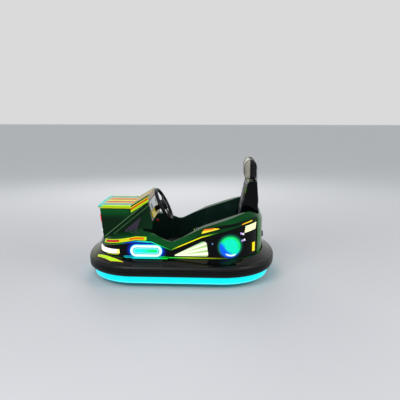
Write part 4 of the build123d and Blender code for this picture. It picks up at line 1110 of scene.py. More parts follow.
def tube(name, points, radius, finish, body="root", cyclic=False, sides=3):
    """A round bead or rod through points, as a mesh."""
    curve = bpy.data.curves.new(name, "CURVE")
    curve.dimensions = "3D"
    curve.bevel_depth = radius
    curve.bevel_resolution = sides
    curve.use_fill_caps = not cyclic
    spline = curve.splines.new("NURBS")
    spline.points.add(len(points) - 1)
    for point, place in zip(spline.points, points):
        point.co = (*place, 1)
    spline.order_u = 3
    spline.use_cyclic_u = cyclic
    spline.use_endpoint_u = not cyclic
    spline.resolution_u = 3
    piece = bpy.data.objects.new(name, curve)
    bpy.context.scene.collection.objects.link(piece)
    select_all_of(piece)
    bpy.ops.object.convert(target="MESH")
    return settle(bpy.context.object, name, finish, body, angle=60)


def strap(name, rows, thickness, finish):
    """A flat strap from rows of points, each row one line along it."""
    across, along = len(rows) - 1, len(rows[0]) - 1
    bpy.ops.object.select_all(action="DESELECT")
    bpy.ops.mesh.primitive_grid_add(x_subdivisions=along, y_subdivisions=across, size=1)
    piece = bpy.context.object
    for vertex in piece.data.vertices:
        column = round((vertex.co.x + 0.5) * along)
        row = round((vertex.co.y + 0.5) * across)
        vertex.co = rows[row][column]
    wall = piece.modifiers.new("wall", "SOLIDIFY")
    wall.thickness = thickness
    wall.offset = 0.0
    apply_all(piece)
    return settle(piece, name, finish, angle=50)


def swell(piece, cap):
    """Swells a pad by the cloth simulation's pressure, by cap at most."""
    rest = [vertex.co.copy() for vertex in piece.data.vertices]
    cloth = piece.modifiers.new("stuffing", "CLOTH")
    cloth.settings.use_pressure = True
    cloth.settings.uniform_pressure_force = CLOTH_PRESSURE
    cloth.settings.effector_weights.gravity = 0
    cloth.collision_settings.use_collision = False
    for step in range(1, CLOTH_FRAMES + 1):
        bpy.context.scene.frame_set(step)
    depsgraph = bpy.context.evaluated_depsgraph_get()
    swelled = [vertex.co.copy() for vertex in piece.evaluated_get(depsgraph).data.vertices]
    piece.modifiers.remove(cloth)
    bpy.context.scene.frame_set(1)
    for vertex, start, end in zip(piece.data.vertices, rest, swelled):
        move = end - start
        if move.length > cap:
            move = move * (cap / move.length)
        vertex.co = start + move


def puffed(node, shrink, voxel, cap, spare):
    """A stuffed copy of a soft CAD node, smaller by shrink and then remeshed, swelled and smoothed.

    It stands out of the node's box by the lengths in spare at most, two for each axis.
    """
    low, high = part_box(node)
    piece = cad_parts[node].copy()
    piece.data = piece.data.copy()
    piece.parent = None
    piece.matrix_world = Matrix.Identity(4)
    bpy.context.scene.collection.objects.link(piece)
    select_all_of(piece)
    bpy.ops.object.mode_set(mode="EDIT")
    bpy.ops.mesh.select_all(action="SELECT")
    bpy.ops.mesh.remove_doubles(threshold=0.0001)
    scale = tuple(1 - 2 * shrink / side for side in high - low)
    bpy.ops.transform.resize(value=scale, center_override=(low + high) / 2)
    bpy.ops.object.mode_set(mode="OBJECT")
    piece.data.remesh_voxel_size = voxel
    piece.data.use_remesh_preserve_volume = True
    bpy.ops.object.voxel_remesh()
    swell(piece, cap)
    for vertex in piece.data.vertices:
        for axis, (under, over) in enumerate(spare):
            vertex.co[axis] = min(max(vertex.co[axis], low[axis] - under), high[axis] + over)
    smooth = piece.modifiers.new("smooth", "SUBSURF")
    smooth.levels = 1
    smooth.render_levels = 1
    apply_all(piece)
    return piece


def press(piece, depth_at):
    """Presses seams and channels into a pad by a function's depth for each point and normal."""
    vertices = piece.data.vertices
    moves = [vertex.normal * depth_at(vertex.co, vertex.normal) for vertex in vertices]
    for vertex, move in zip(vertices, moves):
        vertex.co -= move


def groove(distance, width, depth):
    """Depth of a sewn channel at a distance from its middle."""
    return depth * math.exp(-((distance / width) ** 2))


def channels(face, least, border, axis, rows, depth):
    """Depth of a pad's channels: a border near each side, and rows across on an axis between."""

    def depth_at(place, normal):
        if normal[face] < least:
            return 0
        out = abs(place.y) - border
        pressed = groove(out, CHANNEL_WIDTH, depth)
        if out < 0:
            for row in rows:
                pressed = max(pressed, groove(place[axis] - row, CHANNEL_WIDTH, depth))
        return pressed

    return depth_at


def loop_on(piece, centre, across, up, count, lift):
    """Points round a pad where rays from a centre leave it, in the plane of two directions."""
    tree = BVHTree.FromObject(piece, bpy.context.evaluated_depsgraph_get())
    points = []
    for index in range(count):
        angle = 2 * math.pi * index / count
        ray = across * math.cos(angle) + up * math.sin(angle)
        spot, _, _, _ = tree.ray_cast(centre + ray * 2, -ray)
        if spot is not None:
            points.append(spot + ray.normalized() * lift)
    return points


# Settings


def colour_setting(name, description, default):
    """A colour that a user may change."""
    return FloatVectorProperty(
        name=name, description=description, subtype="COLOR", size=3, min=0, max=1, default=default
    )


def length_setting(name, description, default, **limits):
    """A length that a user may change."""
    return FloatProperty(
        name=name, description=description, unit="LENGTH", default=default, **limits
    )


def angle_setting(name, description, default):
    """An angle that a user may change."""
    return FloatProperty(name=name, description=description, subtype="ANGLE", default=default)


def level_setting(name, description, default, **limits):
    """A strength that a user may change."""
    return FloatProperty(name=name, description=description, min=0, default=default, **limits)


class BodySettings(bpy.types.PropertyGroup):
    """Bodywork colours"""

    green: colour_setting("Body green", "Gel coat of the front and rear mouldings", linear(2, 68, 25))
    nose_green: colour_setting("Nose green", "Gel coat of the nose box", linear(2, 44, 18))
    lime: colour_setting("Lime", "Edges of the lid, the cowl and the stripes", linear(188, 248, 26))
    tub: colour_setting("Tub", "Grained plastic of the cockpit's inside", linear(10, 34, 28))


class LampSettings(bpy.types.PropertyGroup):
    """Lamps and lit strips"""

    level: level_setting("Lamp level", "Strength of the lit diffusers", 1.05, soft_max=2)
    strip_thickness: length_setting(
        "Strip thickness",
        "How far the lit strips stand off the bodywork",
        0.0025,
        min=0.001,
        soft_max=0.006,
    )
    spill: level_setting("Spill level", "Light of the lamps on the black panels", 1.0, soft_max=2)
    skirt: colour_setting("Skirt", "Glow of the skirt under the bumper", linear(0, 240, 250))
    skirt_nose: colour_setting("Skirt at the nose", "Glow of the skirt's front end", linear(0, 228, 250))


class SeatSettings(bpy.types.PropertyGroup):
    """Seat covers"""

    cover: colour_setting("Cover", "Vinyl of the cushion, back pad and headrest", linear(9, 10, 12))
    piping: colour_setting("Piping", "Bead round the cushion and up the back pad", linear(150, 220, 40))
    bead: length_setting("Piping radius", "Radius of the piping", 0.0034, min=0.001)
    channel: length_setting(
        "Channel depth", "Depth of the sewn channels", 0.0055, min=0, soft_max=0.01
    )


class StageSettings(bpy.types.PropertyGroup):
    """Camera and light"""

    camera_x: length_setting("Camera along", "The camera's place along the car", -0.341)
    camera_y: length_setting("Camera aside", "The camera's distance from the middle line", 3.848)
    camera_height: length_setting("Camera height", "Eye height of the camera over the floor", 1.335)
    camera_pitch: angle_setting("Camera pitch", "How far the camera looks down", math.radians(11.17))
    camera_yaw: angle_setting(
        "Camera yaw", "How far the camera turns from square to the car towards its nose", 0.05
    )
    floor_tone: colour_setting("Floor", "Pale floor under the car", linear(196, 196, 199))
    light_level: level_setting("Light level", "Scale of all the studio lamps", 1.0)


# Making steps


class BUMPERCAR_OT_bodywork(bpy.types.Operator):
    """Gives the mouldings, nose box, lid, cowl, panels and tub their finishes"""

    bl_idname = "bumpercar.bodywork"
    bl_label = "Bodywork"

    def execute(self, context):
        body = context.scene.bumper_car_body
        green, lime = tuple(body.green), tuple(body.lime)
        # A lighter copy of the body green, for the painted light on the nose's cheek under the lid.
        bright = tuple(part * 2.2 for part in green)
        red, orange, yellow = linear(214, 30, 34), linear(238, 116, 16), linear(236, 214, 24)
        fender_marks = (
            (fender_stripe(-0.036, -0.014, 0.23, 0.575), lime),
            (fender_stripe(-0.032, -0.018, 0.245, 0.36), orange),
            (fender_stripe(-0.032, -0.018, 0.36, 0.44), yellow),
            (fender_stripe(-0.032, -0.018, 0.44, 0.56), red),
        )
        # Painted light on the tail's corners, and painted shade in the groove over the rail's lip.
        rear_marks = ((rear_corner_painted_light, linear(28, 164, 0)), (rail_groove_painted_shade, linear(4, 8, 8)))
        nose_marks = (
            # Painted light on the cheek under the lid
            (under_lid_painted_light, bright),
            (nose_recess, linear(16, 10, 22)),
            # Painted highlights along the beams' edges
            (beam_edge_highlight(0.0), linear(120, 176, 120)),
            (beam_edge_highlight(-0.029), linear(96, 150, 100)),
        )
        stripes = (
            (lengthwise(-0.01, 0.182), linear(24, 128, 26)),
            (lengthwise(-0.01, 0.03), yellow),
            (lengthwise(0.042, 0.07), red),
            (lengthwise(0.07, 0.092), orange),
            (lengthwise(0.092, 0.116), yellow),
        )
        lid_marks = stripes + (
            (lengthwise(0.128, 0.146), linear(0, 196, 204)),
            (lengthwise(0.154, 0.168), linear(176, 150, 214)),
            (lid_front_corner, linear(0, 214, 200)),
            (lid_side_line, linear(240, 226, 30)),
        )
        cowl_marks = (
            (cowl_band(0.34, 0.48), orange),
            (cowl_band(0.48, 0.62), red),
            (cowl_band(0.62, 0.78), yellow),
            (cowl_band(0.78, 1.05), linear(6, 60, 24)),
        )
        front = gel_coat("front_green_gel_coat", green, fender_marks)
        rear = gel_coat("rear_green_gel_coat", green, rear_marks)
        nose = gel_coat("nose_gel_coat", tuple(body.nose_green), nose_marks)
        lid = gel_coat("lid_gel_coat", lime, lid_marks, depth=0.15)
        cowl = gel_coat("cowl_gel_coat", lime, cowl_marks + stripes, depth=0.15)
        coat("front_body", front)
        coat("rear_body", rear)
        coat("nose_shell", nose)
        coat("nose_lid", lid)
        coat("nose_cowl", cowl)
        # The panel carries painted light round the capsule and disc lamps.
        panel = black_gloss("panel_black_gloss", lamp_spill, context.scene.bumper_car_lamps.spill)
        coat("lamp_panel_left", panel)
        coat("lamp_panel_right", panel)
        gloss = black_gloss("shell_black_gloss")
        coat("seat_shell", gloss)
        coat("steering_column", gloss)
        coat("cheek_grilles", bright_metal("grille_metal", linear(74, 66, 84), 0.26, 0.1))
        coat("cockpit_tub", grained_plastic("tub_grain", tuple(body.tub)))
        # The printed dash face is given a faint glow: painted light.
        coat("dash_panel", lit("dash_face", dash_shade, 0.35))
        # Painted reflections on the bumper: olive at the nose, and yellow-edged lime wedges beside the
        # headlamps.
        marks = ((nose_reflection, linear(64, 78, 8)), (crown_wedge_reflection(0.0), yellow), (crown_wedge_reflection(0.004), lime))
        coat("bumper", rubber("bumper_rubber", marks))
        return {"FINISHED"}


class BUMPERCAR_OT_chassis(bpy.types.Operator):
    """Gives the frame, wheels, seat base, battery and small parts their finishes"""

    bl_idname = "bumpercar.chassis"
    bl_label = "Chassis"

    def execute(self, context):
        paint = painted_steel("frame_paint", linear(34, 34, 36))
        pan = painted_steel("pan_paint", linear(58, 60, 62))
        steel = bright_metal("machined_steel", linear(150, 152, 156), 0.3, 0.15)
        cast = bright_metal("cast_alloy", linear(168, 170, 172), 0.4, 0.1)
        chrome = bright_metal("strap_metal", linear(176, 178, 182), 0.22, 0.1)
        tyre = tyre_rubber("solid_tyre")
        dark = grained_plastic("dark_grain", linear(26, 27, 29))
        case = grained_plastic("battery_case", linear(44, 46, 50), 120.0)
        groups = (
            (paint, ("bumper_band", "frame_rail_left", "frame_rail_right", "steer_bridge")),
            (paint, ("battery_tray", "cross_member_front", "cross_member_footwell")),
            (paint, ("cross_member_seat", "cross_member_rear")),
            (pan, ("floor_pan",)),
            (steel, ("drive_fork", "rear_axle", "pedal")),
            (cast, ("drive_hub", "rear_rim_left", "rear_rim_right")),
            (chrome, ("headrest_straps",)),
            (tyre, ("drive_tyre", "rear_tyre_left", "rear_tyre_right")),
            (dark, ("seat_riser", "charge_socket", "steering_wheel")),
            (case, ("battery_pack",)),
        )
        for finish, nodes in groups:
            for node in nodes:
                coat(node, finish)
        coat("dash_switches", switch_finish("switch_metal"))
        return {"FINISHED"}


class BUMPERCAR_OT_lamps(bpy.types.Operator):
    """Lights the lamps and the skirt"""

    bl_idname = "bumpercar.lamps"
    bl_label = "Lamps"

    def execute(self, context):
        lamps = context.scene.bumper_car_lamps
        along, nose = tuple(lamps.skirt), tuple(lamps.skirt_nose)

        def skirt_shade(finish):
            x, _, z = finish.place()
            foot = (1 - z.rise(0.036, 0.05)) * 0.35
            return finish.layers(along, (x.rise(0.3, 0.72), nose), (foot, linear(150, 240, 255)))

        shades = (
            ("glow_skirt", "skirt_glow", skirt_shade, 1),
            ("capsule_lamps", "capsule_glow", capsule_shade, 1.1),
            ("fan_lamps", "fan_glow", fan_shade, 1),
            ("disc_lamps", "disc_glow", disc_shade, 1),
            ("disc_rings", "disc_ring_glow", ring_shade, 0.8),
            ("headlamps", "headlamp_glow", headlamp_shade, 1.25),
            ("tail_lamps", "tail_glow", tail_shade, 1.4),
            ("marker_lamps", "marker_glow", marker_shade, 1),
            ("nose_lamps", "nose_glow", nose_lamp_shade, 1),
        )
        for node, name, shade, share in shades:
            coat(node, lit(name, shade, lamps.level * share))
        return {"FINISHED"}


class BUMPERCAR_OT_light_lines(bpy.types.Operator):
    """Lays the lit strips along the window edges, the rail, the sill and round the headlamps"""

    bl_idname = "bumpercar.light_lines"
    bl_label = "Light lines"

    def execute(self, context):
        lamps = context.scene.bumper_car_lamps
        thick, level = lamps.strip_thickness, lamps.level
        body = skin("front_body", "rear_body")
        panel = skin("lamp_panel_left")
        # The arch strip glows with painted light from the lamps beside it.
        arch = line_light("arch_light", ARCH_COLOURS, level)
        rail = line_light("rail_light", RAIL_COLOURS, level)
        wedge = lit("wedge_light", wedge_shade, level)
        valance = line_light("valance_light", VALANCE_COLOURS, level)
        sill = line_light("sill_light", SILL_COLOURS, level)
        outline = lit("headlamp_outline", lambda finish: linear(216, 226, 20), level)
        tail = line_light("tail_line_light", TAIL_COLOURS, level)
        strips = (
            ("arch_lights", raised(ARCH_LINE, 0.008), raised(ARCH_LINE, 0.001), body, arch),
            ("rail_lights", raised(RAIL_LINE, 0.009), raised(RAIL_LINE, 0.001), body, rail),
            ("rail_wedges", RAIL_WEDGE_TOP, RAIL_WEDGE_FOOT, body, wedge),
            ("valance_lights", VALANCE_TOP, VALANCE_FOOT, body, valance),
            ("valance_edges", *flat_band(0.4, 0.087, 0.2272, 0.2238), panel, valance),
            ("valance_steps", *flat_band(0.087, 0.07, 0.231, 0.2224), body, valance),
            ("sill_lights", SILL_TOP, SILL_FOOT, panel, sill),
            ("headlamp_underlines", UNDERLINE_TOP, UNDERLINE_FOOT, panel, outline),
            ("headlamp_ends", *flat_band(0.6278, 0.6242, 0.257, 0.2155), panel, outline),
            ("tail_lines", raised(TAIL_LINE, 0.002), raised(TAIL_LINE, -0.0035), body, tail),
        )
        walls = {"valance_lights": 2 * thick}
        for name, upper, lower, carrier, finish in strips:
            slot = "disc_light" if finish in (arch, valance) else "tail_light"
            side_strip(name, upper, lower, carrier, walls.get(name, thick), finish)
        for name, (places, tone, radius) in SPOT_LAMPS.items():
            rim = radius * 1.3
            head = turned(rim, ((0.003, rim), (0.0, radius), (0.0025, radius * 0.7)))
            piece = copies(head, both_sides([outward(panel, x, z) for x, z in places]))
            glow = lit(name + "_glow", lambda finish, colour=linear(*tone): colour, level)
            settle(piece, name, glow)
        return {"FINISHED"}


def back_piping(back, radius, finish):
    """A bead on the back pad's front, up one side, over the top and down the other side."""
    tree = BVHTree.FromObject(back, bpy.context.evaluated_depsgraph_get())
    low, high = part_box("seat_back_pad")
    edge = high.y - PIPING_INSET
    crown = high.z - PIPING_INSET

    def front_of(y, z):
        spot, _, _, _ = tree.ray_cast(Vector((0.2, y, z)), Vector((-1, 0, 0)))
        if spot is None:
            raise RuntimeError("The back pad's piping found no pad at its height")
        return spot + Vector((PIPING_LIFT, 0, 0))

    half = [(edge, low.z + PIPING_START + PIPING_STEP * index) for index in range(PIPING_STEPS)]
    half += [(edge - aside, crown - down) for aside, down in PIPING_CORNER]
    half += [(edge * 0.4, crown), (0, crown)]
    outline = half + [(-y, z) for y, z in reversed(half[:-1])]
    path = [front_of(y, z) for y, z in outline]
    tube("back_piping", path, radius, finish)


class BUMPERCAR_OT_seat(bpy.types.Operator):
    """Makes the stuffed cushion, back pad and headrest with their channels and piping"""

    bl_idname = "bumpercar.seat"
    bl_label = "Seat"

    def execute(self, context):
        seat = context.scene.bumper_car_seat
        cover = tuple(seat.cover)
        black = vinyl("seat_vinyl", cover)
        piping = vinyl("piping_vinyl", tuple(seat.piping))

        spare = ((0, 0.004), (0, 0), (0, 0.008))
        cushion = puffed("seat_cushion", shrink=0.007, voxel=0.005, cap=0.011, spare=spare)
        press(cushion, channels(2, 0.3, CUSHION_BORDER, 0, CUSHION_ROWS, seat.channel))
        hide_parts("seat_cushion")
        settle(cushion, "stuffed_cushion", black, angle=180, clean=False)

        spare = ((0, 0.01), (0, 0), (0, 0.002))
        back = puffed("seat_back_pad", shrink=0.007, voxel=0.006, cap=0.012, spare=spare)
        press(back, channels(0, 0.2, BACK_BORDER, 2, BACK_ROWS, seat.channel))
        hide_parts("seat_back_pad")
        settle(back, "stuffed_back", black, angle=180, clean=False)

        low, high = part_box("headrest")
        fold = low.x + (high.x - low.x) * HEADREST_FOLD
        pale = vinyl("headrest_vinyl", cover, pale_front=fold)

        def headrest_seams(place, normal):
            if abs(normal.y) > 0.8:
                return 0
            seam = groove(abs(place.y) - HEADREST_SEAM_Y, 0.004, 0.003)
            return max(seam, groove(place.x - fold, 0.003, 0.002))

        spare = ((0, 0.003), (0.002, 0.002), (0, 0.002))
        headrest = puffed("headrest", shrink=0.004, voxel=0.005, cap=0.01, spare=spare)
        press(headrest, headrest_seams)
        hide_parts("headrest")
        settle(headrest, "stuffed_headrest", pale, angle=180, clean=False)

        low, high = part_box("seat_cushion")
        rim = Vector(((low.x + high.x) / 2, 0, high.z - PIPING_DROP))
        along, across, up = Vector((1, 0, 0)), Vector((0, 1, 0)), Vector((0, 0, 1))
        points = loop_on(cushion, rim, along, across, 120, 0.001)
        tube("cushion_piping", points, seat.bead, piping, cyclic=True)

        back_piping(back, seat.bead, piping)

        low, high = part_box("headrest")
        for side, sign in (("left", 1), ("right", -1)):
            aside = sign * (high.y - BEAD_INSET)
            centre = Vector(((low.x + high.x) / 2, aside, (low.z + high.z) / 2))
            points = loop_on(headrest, centre, along, up, 40, 0.0005)
            tube("headrest_bead_" + side, points, HEADREST_BEAD, black, cyclic=True)
        return {"FINISHED"}


class BUMPERCAR_OT_belt(bpy.types.Operator):
    """Lays the lap belt over the seat, with its buckle, tongue and anchors"""

    bl_idname = "bumpercar.belt"
    bl_label = "Belt"

    def execute(self, context):
        cushion = bpy.data.objects.get("stuffed_cushion")
        if cushion is None:
            raise RuntimeError("The belt lies on the stuffed cushion, so the seat comes first")
        seat = context.scene.bumper_car_seat
        tree = BVHTree.FromObject(cushion, context.evaluated_depsgraph_get())
        shell = skin("seat_shell")
        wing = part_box("seat_shell")[1].y
        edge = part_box("seat_cushion")[1].y
        down = Vector((0, 0, -1))

        def lies(x, y):
            return tree.ray_cast(Vector((x, y, 1)), down)[0].z + BELT_THICKNESS

        def crest_at(x):
            return shell.ray_cast(Vector((x, wing - 0.006, 1)), down)[0].z

        def line(x, sign, end):
            crest = crest_at(x)
            points = [(wing + out, crest + up) for out, up in BELT_WRAP]
            start = edge - 0.018
            points.append((edge - 0.008, (crest + lies(x, start)) / 2 - 0.004))
            count = max(int((start - end) / 0.01), 2)
            for index in range(count + 1):
                y = start + (end - start) * index / count
                points.append((y, lies(x, sign * y)))
            return [Vector((x, sign * y, z)) for y, z in points]

        finish = webbing("belt_webbing", tuple(seat.piping))
        half = BELT_WIDTH / 2
        places = [BELT_X - half + BELT_WIDTH * index / 4 for index in range(5)]
        for side, sign, end in BELT_ENDS:
            rows = [line(x, sign, end) for x in places]
            strap("belt_" + side, rows, BELT_THICKNESS, finish)

        top = lies(BELT_X, -0.025)

        def fitting(name, form, finish):
            size, y, height, bevel = form
            settle(rounded_box(size, (BELT_X, y, top + height), bevel), name, finish)

        black = grained_plastic("buckle_plastic", linear(18, 19, 21), 300.0)
        red = grained_plastic("buckle_button_plastic", linear(196, 18, 26), 300.0)
        metal = bright_metal("belt_metal", linear(186, 188, 192), 0.2)
        fitting("belt_buckle", BELT_BUCKLE, black)
        fitting("belt_button", BELT_BUTTON, red)
        fitting("belt_tongue", BELT_TONGUE, metal)
        anchor = (BELT_X, wing + 0.0035, crest_at(BELT_X) - 0.048)
        anchors = both_sides([(anchor, (0, 1, 0))])
        screws("belt_anchors", ANCHOR_BOLT, anchors, metal)
        return {"FINISHED"}


def shape_grip(grip):
    """Finger waves along the inside of the rim's grip, which is slimmer at the spokes."""
    spokes = [math.pi / 2 + 2 * math.pi * index / SPOKES for index in range(SPOKES)]
    for vertex in grip.data.vertices:
        angle = math.atan2(vertex.co.y, vertex.co.x)
        from_spoke = min(abs(math.remainder(angle - spoke, 2 * math.pi)) for spoke in spokes)
        middle = Vector((math.cos(angle), math.sin(angle), 0)) * RIM_RADIUS
        away = vertex.co - middle
        inner = max(0.0, -away.dot(middle.normalized()) / away.length)
        wave = 0.5 + 0.5 * math.cos(GRIP_WAVES * angle)
        scale = 1.0 - GRIP_WAVE_DEPTH * wave * inner
        if from_spoke < SPOKE_ANGLE:
            scale *= SPOKE_SCALE
        vertex.co = middle + away * scale


class BUMPERCAR_OT_steering(bpy.types.Operator):
    """Makes the wheel's grip, hub cap and screws, and the collar on the column"""

    bl_idname = "bumpercar.steering"
    bl_label = "Steering"

    def execute(self, context):
        turn = WHEEL_UP.to_track_quat("Z", "Y").to_matrix().to_4x4()
        grip_finish = grained_plastic("grip_rubber", linear(22, 23, 25), 420.0)
        bpy.ops.object.select_all(action="DESELECT")
        bpy.ops.mesh.primitive_torus_add(
            major_radius=RIM_RADIUS, minor_radius=GRIP_RADIUS, major_segments=144, minor_segments=16
        )
        grip = context.object
        shape_grip(grip)
        grip.matrix_world = Matrix.Translation(WHEEL_CENTRE) @ turn
        settle(grip, "wheel_grip", grip_finish, "steering_wheel", angle=60)

        cap_finish = black_gloss("hub_cap_gloss")
        cap = turned(CAP_PROFILE[0][1], CAP_PROFILE, FINE_SEGMENTS)
        cap.matrix_world = Matrix.Translation(WHEEL_CENTRE + WHEEL_UP * HUB_FACE) @ turn
        settle(cap, "wheel_hub_cap", cap_finish, "steering_wheel")

        metal = bright_metal("screw_metal", linear(176, 178, 182), 0.25)
        places = []
        for index in range(SPOKES):
            angle = math.radians(30 + 360 / SPOKES * index)
            reach = HUB_SCREW_REACH
            local = Vector((reach * math.cos(angle), reach * math.sin(angle), HUB_FACE))
            places.append((WHEEL_CENTRE + turn.to_3x3() @ local, WHEEL_UP))
        screws("wheel_screws", HUB_SCREW, places, metal, "steering_wheel")

        collar = turned(COLLAR_PROFILE[0][1], COLLAR_PROFILE, FINE_SEGMENTS)
        centre = WHEEL_CENTRE - WHEEL_UP * COLLAR_DROP
        collar.matrix_world = Matrix.Translation(centre) @ turn
        settle(collar, "column_collar", cap_finish)
        return {"FINISHED"}


def wheel_bolts(body, node, reach, out, finish):
    """A circle of bolts on a wheel's web, on the side that out gives."""
    low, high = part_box(node)
    middle = (low + high) / 2
    web = (high.y - low.y) / 6
    places = []
    for index in range(BOLTS):
        angle = 2 * math.pi * index / BOLTS
        offset = Vector((reach * math.cos(angle), out * web, reach * math.sin(angle)))
        places.append((middle + offset, (0, out, 0)))
    screws(node + "_bolts", WHEEL_BOLT, places, finish, body)


def footwell_mat(finish):
    """A mat on the floor pan, with ribs across it."""
    ribs = [rounded_box(MAT_SIZE, (MAT_X, 0, FLOOR_TOP + 0.002), MAT_BEVEL, 2)]
    for index in range(MAT_RIBS):
        place = (MAT_RIB_START + MAT_RIB_STEP * index, 0, FLOOR_TOP + 0.005)
        ribs.append(rounded_box(MAT_RIB_SIZE, place, MAT_BEVEL, 2))
    settle(joined(ribs), "footwell_mat", finish)


def pedal_treads(finish):
    """Ribs across the pedal, along its slope."""
    low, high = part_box("pedal")
    slope = math.atan2(PEDAL_RISE, PEDAL_RUN)
    treads = []
    for index in range(TREADS):
        share = (index + 0.7) / (TREADS + 0.4)
        height = low.z + 0.008 + PEDAL_RISE * share + 0.001
        place = (low.x + PEDAL_RUN * share, (low.y + high.y) / 2, height)
        tread = rounded_box(TREAD_SIZE, (0, 0, 0), TREAD_BEVEL, 2)
        tread.matrix_world = Matrix.Translation(place) @ Matrix.Rotation(-slope, 4, "Y")
        treads.append(tread)
    settle(joined(treads), "pedal_treads", finish)


def socket_ring(finish):
    """A turned ring on the charging socket's face."""
    low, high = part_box("charge_socket")
    centre = (low + high) / 2
    centre.x = low.x
    back = Vector((-1, 0, 0)).to_track_quat("Z", "Y").to_matrix().to_4x4()
    ring = turned(SOCKET_PROFILE[0][1], SOCKET_PROFILE, FINE_SEGMENTS)
    ring.matrix_world = Matrix.Translation(centre) @ back
    settle(ring, "socket_ring", finish)


class BUMPERCAR_OT_fittings(bpy.types.Operator):
    """Makes the screws, wheel bolts, mat, pedal ribs and the socket's ring"""

    bl_idname = "bumpercar.fittings"
    bl_label = "Fittings"

    def execute(self, context):
        metal = bright_metal("fitting_metal", linear(176, 178, 182), 0.28)
        dark = grained_plastic("mat_rubber", linear(24, 25, 26), 200.0)
        lid_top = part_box("nose_lid")[1].z
        sides = (LID_SCREW_Y, -LID_SCREW_Y)
        lid_places = [((x, y, lid_top), (0, 0, 1)) for x in LID_SCREW_X for y in sides]
        screws("lid_screws", LID_SCREW, lid_places, metal)

        strap_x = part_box("headrest_straps")[0].x + 0.0004
        sides = (STRAP_SCREW_Y, -STRAP_SCREW_Y)
        strap_places = [((strap_x, y, z), (-1, 0, 0)) for y in sides for z in STRAP_SCREW_Z]
        screws("strap_screws", STRAP_SCREW, strap_places, metal)

        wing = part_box("seat_shell")[1].y
        wing_places = both_sides([((x, wing, z), (0, 1, 0)) for x, z in SHELL_SCREW_PLACES])
        screws("shell_screws", SHELL_SCREW, wing_places, metal)

        panel = skin("lamp_panel_left")
        panel_places = [outward(panel, x, z) for x, z in PANEL_SCREW_PLACES]
        screw_black = black_gloss("panel_screw_gloss")
        screws("panel_screws", PANEL_SCREW, both_sides(panel_places), screw_black)

        for circle in BOLT_CIRCLES:
            wheel_bolts(*circle, metal)
        footwell_mat(dark)
        pedal_treads(dark)
        socket_ring(metal)
        return {"FINISHED"}


def soft_light(name, place, size, power):
    """A large square lamp that points at the car's middle."""
    bpy.ops.object.light_add(type="AREA", location=place)
    lamp = bpy.context.object
    lamp.name = name
    lamp.data.size = size
    lamp.data.energy = power
    aim = Vector((0, 0, 0.4)) - Vector(place)
    lamp.rotation_euler = aim.to_track_quat("-Z", "Y").to_euler()
    return lamp


def studio_world():
    """A soft fill, with a pale background where the camera, a mirror or glass shows it."""
    world = bpy.data.worlds.new("studio")
    world.use_nodes = True
    tree = world.node_tree
    link = tree.links.new
    pale = tree.nodes["Background"]
    pale.inputs["Color"].default_value = (SEEN_SKY, SEEN_SKY, SEEN_SKY, 1)
    fill = tree.nodes.new("ShaderNodeBackground")
    fill.inputs["Color"].default_value = FILL_COLOUR
    fill.inputs["Strength"].default_value = FILL_STRENGTH
    path = tree.nodes.new("ShaderNodeLightPath")
    shown = path.outputs["Is Camera Ray"]
    for kind in ("Is Glossy Ray", "Is Transmission Ray"):
        either = tree.nodes.new("ShaderNodeMath")
        either.operation = "MAXIMUM"
        link(shown, either.inputs[0])
        link(path.outputs[kind], either.inputs[1])
        shown = either.outputs[0]
    mix = tree.nodes.new("ShaderNodeMixShader")
    link(shown, mix.inputs[0])
    link(fill.outputs[0], mix.inputs[1])
    link(pale.outputs[0], mix.inputs[2])
    link(mix.outputs[0], tree.nodes["World Output"].inputs["Surface"])
    return world


def photo_camera(stage):
    """The camera at the photograph's place, height, pitch and yaw."""
    data = bpy.data.cameras.new("photo_camera")
    data.sensor_width = SENSOR
    data.lens = CAMERA_FOCAL_PIXELS / PHOTO_PIXELS * SENSOR
    camera = bpy.data.objects.new("photo_camera", data)
    bpy.context.scene.collection.objects.link(camera)
    camera.location = (stage.camera_x, stage.camera_y, stage.camera_height)
    ahead = math.cos(stage.camera_pitch)
    along = math.sin(stage.camera_yaw) * ahead
    across = -math.cos(stage.camera_yaw) * ahead
    aim = Vector((along, across, -math.sin(stage.camera_pitch)))
    camera.rotation_euler = aim.to_track_quat("-Z", "Y").to_euler()
    return camera


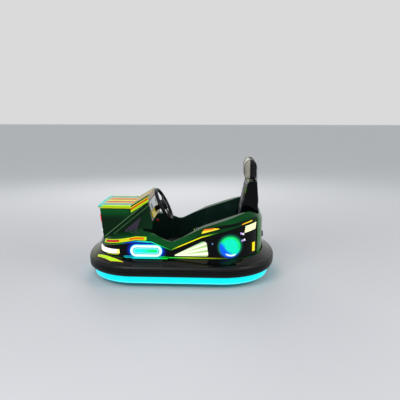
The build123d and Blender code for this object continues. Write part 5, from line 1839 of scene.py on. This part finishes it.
class BUMPERCAR_OT_stage(bpy.types.Operator):
    """Adds the pale floor, the soft lamps and the camera at the photograph's viewing angle"""

    bl_idname = "bumpercar.stage"
    bl_label = "Stage"

    def execute(self, context):
        stage = context.scene.bumper_car_stage
        bpy.ops.mesh.primitive_plane_add(size=FLOOR_SIZE)
        floor = context.object
        floor.name = "floor"
        finish = Finish("pale_floor")
        x, y, _ = finish.place()
        far = distance(x, y).rise(*FLOOR_FADE)
        tone = finish.blend(far, tuple(stage.floor_tone), FAR_FLOOR)
        shown = finish.node("LightPath", output="Is Camera Ray")
        for kind in ("Is Glossy Ray", "Is Transmission Ray"):
            shown = shown | finish.node("LightPath", output=kind)
        tone = finish.blend(shown, UNSEEN_FLOOR, tone)
        finish.set(base_color=tone, roughness=0.6, specular_ior_level=0.3)
        floor.data.materials.append(finish.material)
        context.scene.world = studio_world()
        for name, (place, power) in STUDIO_LAMPS.items():
            soft_light(name, place, LAMP_SIZE, power * stage.light_level)
        context.scene.camera = photo_camera(stage)
        context.scene.view_settings.view_transform = "Standard"
        return {"FINISHED"}


class BUMPERCAR_PT_steps(bpy.types.Panel):
    """Lists the car's sizes, colours and making steps"""

    bl_label = "Bumper Car"
    bl_idname = "BUMPERCAR_PT_steps"
    bl_space_type = "VIEW_3D"
    bl_region_type = "UI"
    bl_category = "Bumper Car"

    def draw(self, context):
        scene = context.scene
        for settings in SETTINGS:
            group = getattr(scene, settings)
            box = self.layout.box()
            for key in group.bl_rna.properties.keys():
                if key not in ("name", "rna_type"):
                    box.prop(group, key)
        for step in STEPS:
            self.layout.operator(step.bl_idname)


SETTINGS = {
    "bumper_car_body": BodySettings,
    "bumper_car_lamps": LampSettings,
    "bumper_car_seat": SeatSettings,
    "bumper_car_stage": StageSettings,
}
STEPS = (
    BUMPERCAR_OT_bodywork,
    BUMPERCAR_OT_chassis,
    BUMPERCAR_OT_lamps,
    BUMPERCAR_OT_light_lines,
    BUMPERCAR_OT_seat,
    BUMPERCAR_OT_belt,
    BUMPERCAR_OT_steering,
    BUMPERCAR_OT_fittings,
    BUMPERCAR_OT_stage,
)


def register():
    for group in SETTINGS.values():
        bpy.utils.register_class(group)
    for step in STEPS:
        bpy.utils.register_class(step)
    bpy.utils.register_class(BUMPERCAR_PT_steps)
    for name, group in SETTINGS.items():
        setattr(bpy.types.Scene, name, PointerProperty(type=group))


def unregister():
    for name in SETTINGS:
        delattr(bpy.types.Scene, name)
    bpy.utils.unregister_class(BUMPERCAR_PT_steps)
    for step in reversed(STEPS):
        bpy.utils.unregister_class(step)
    for group in reversed(SETTINGS.values()):
        bpy.utils.unregister_class(group)


def main():
    register()
    for step in STEPS:
        group, name = step.bl_idname.split(".")
        getattr(getattr(bpy.ops, group), name)()


if __name__ == "__main__":
    main()
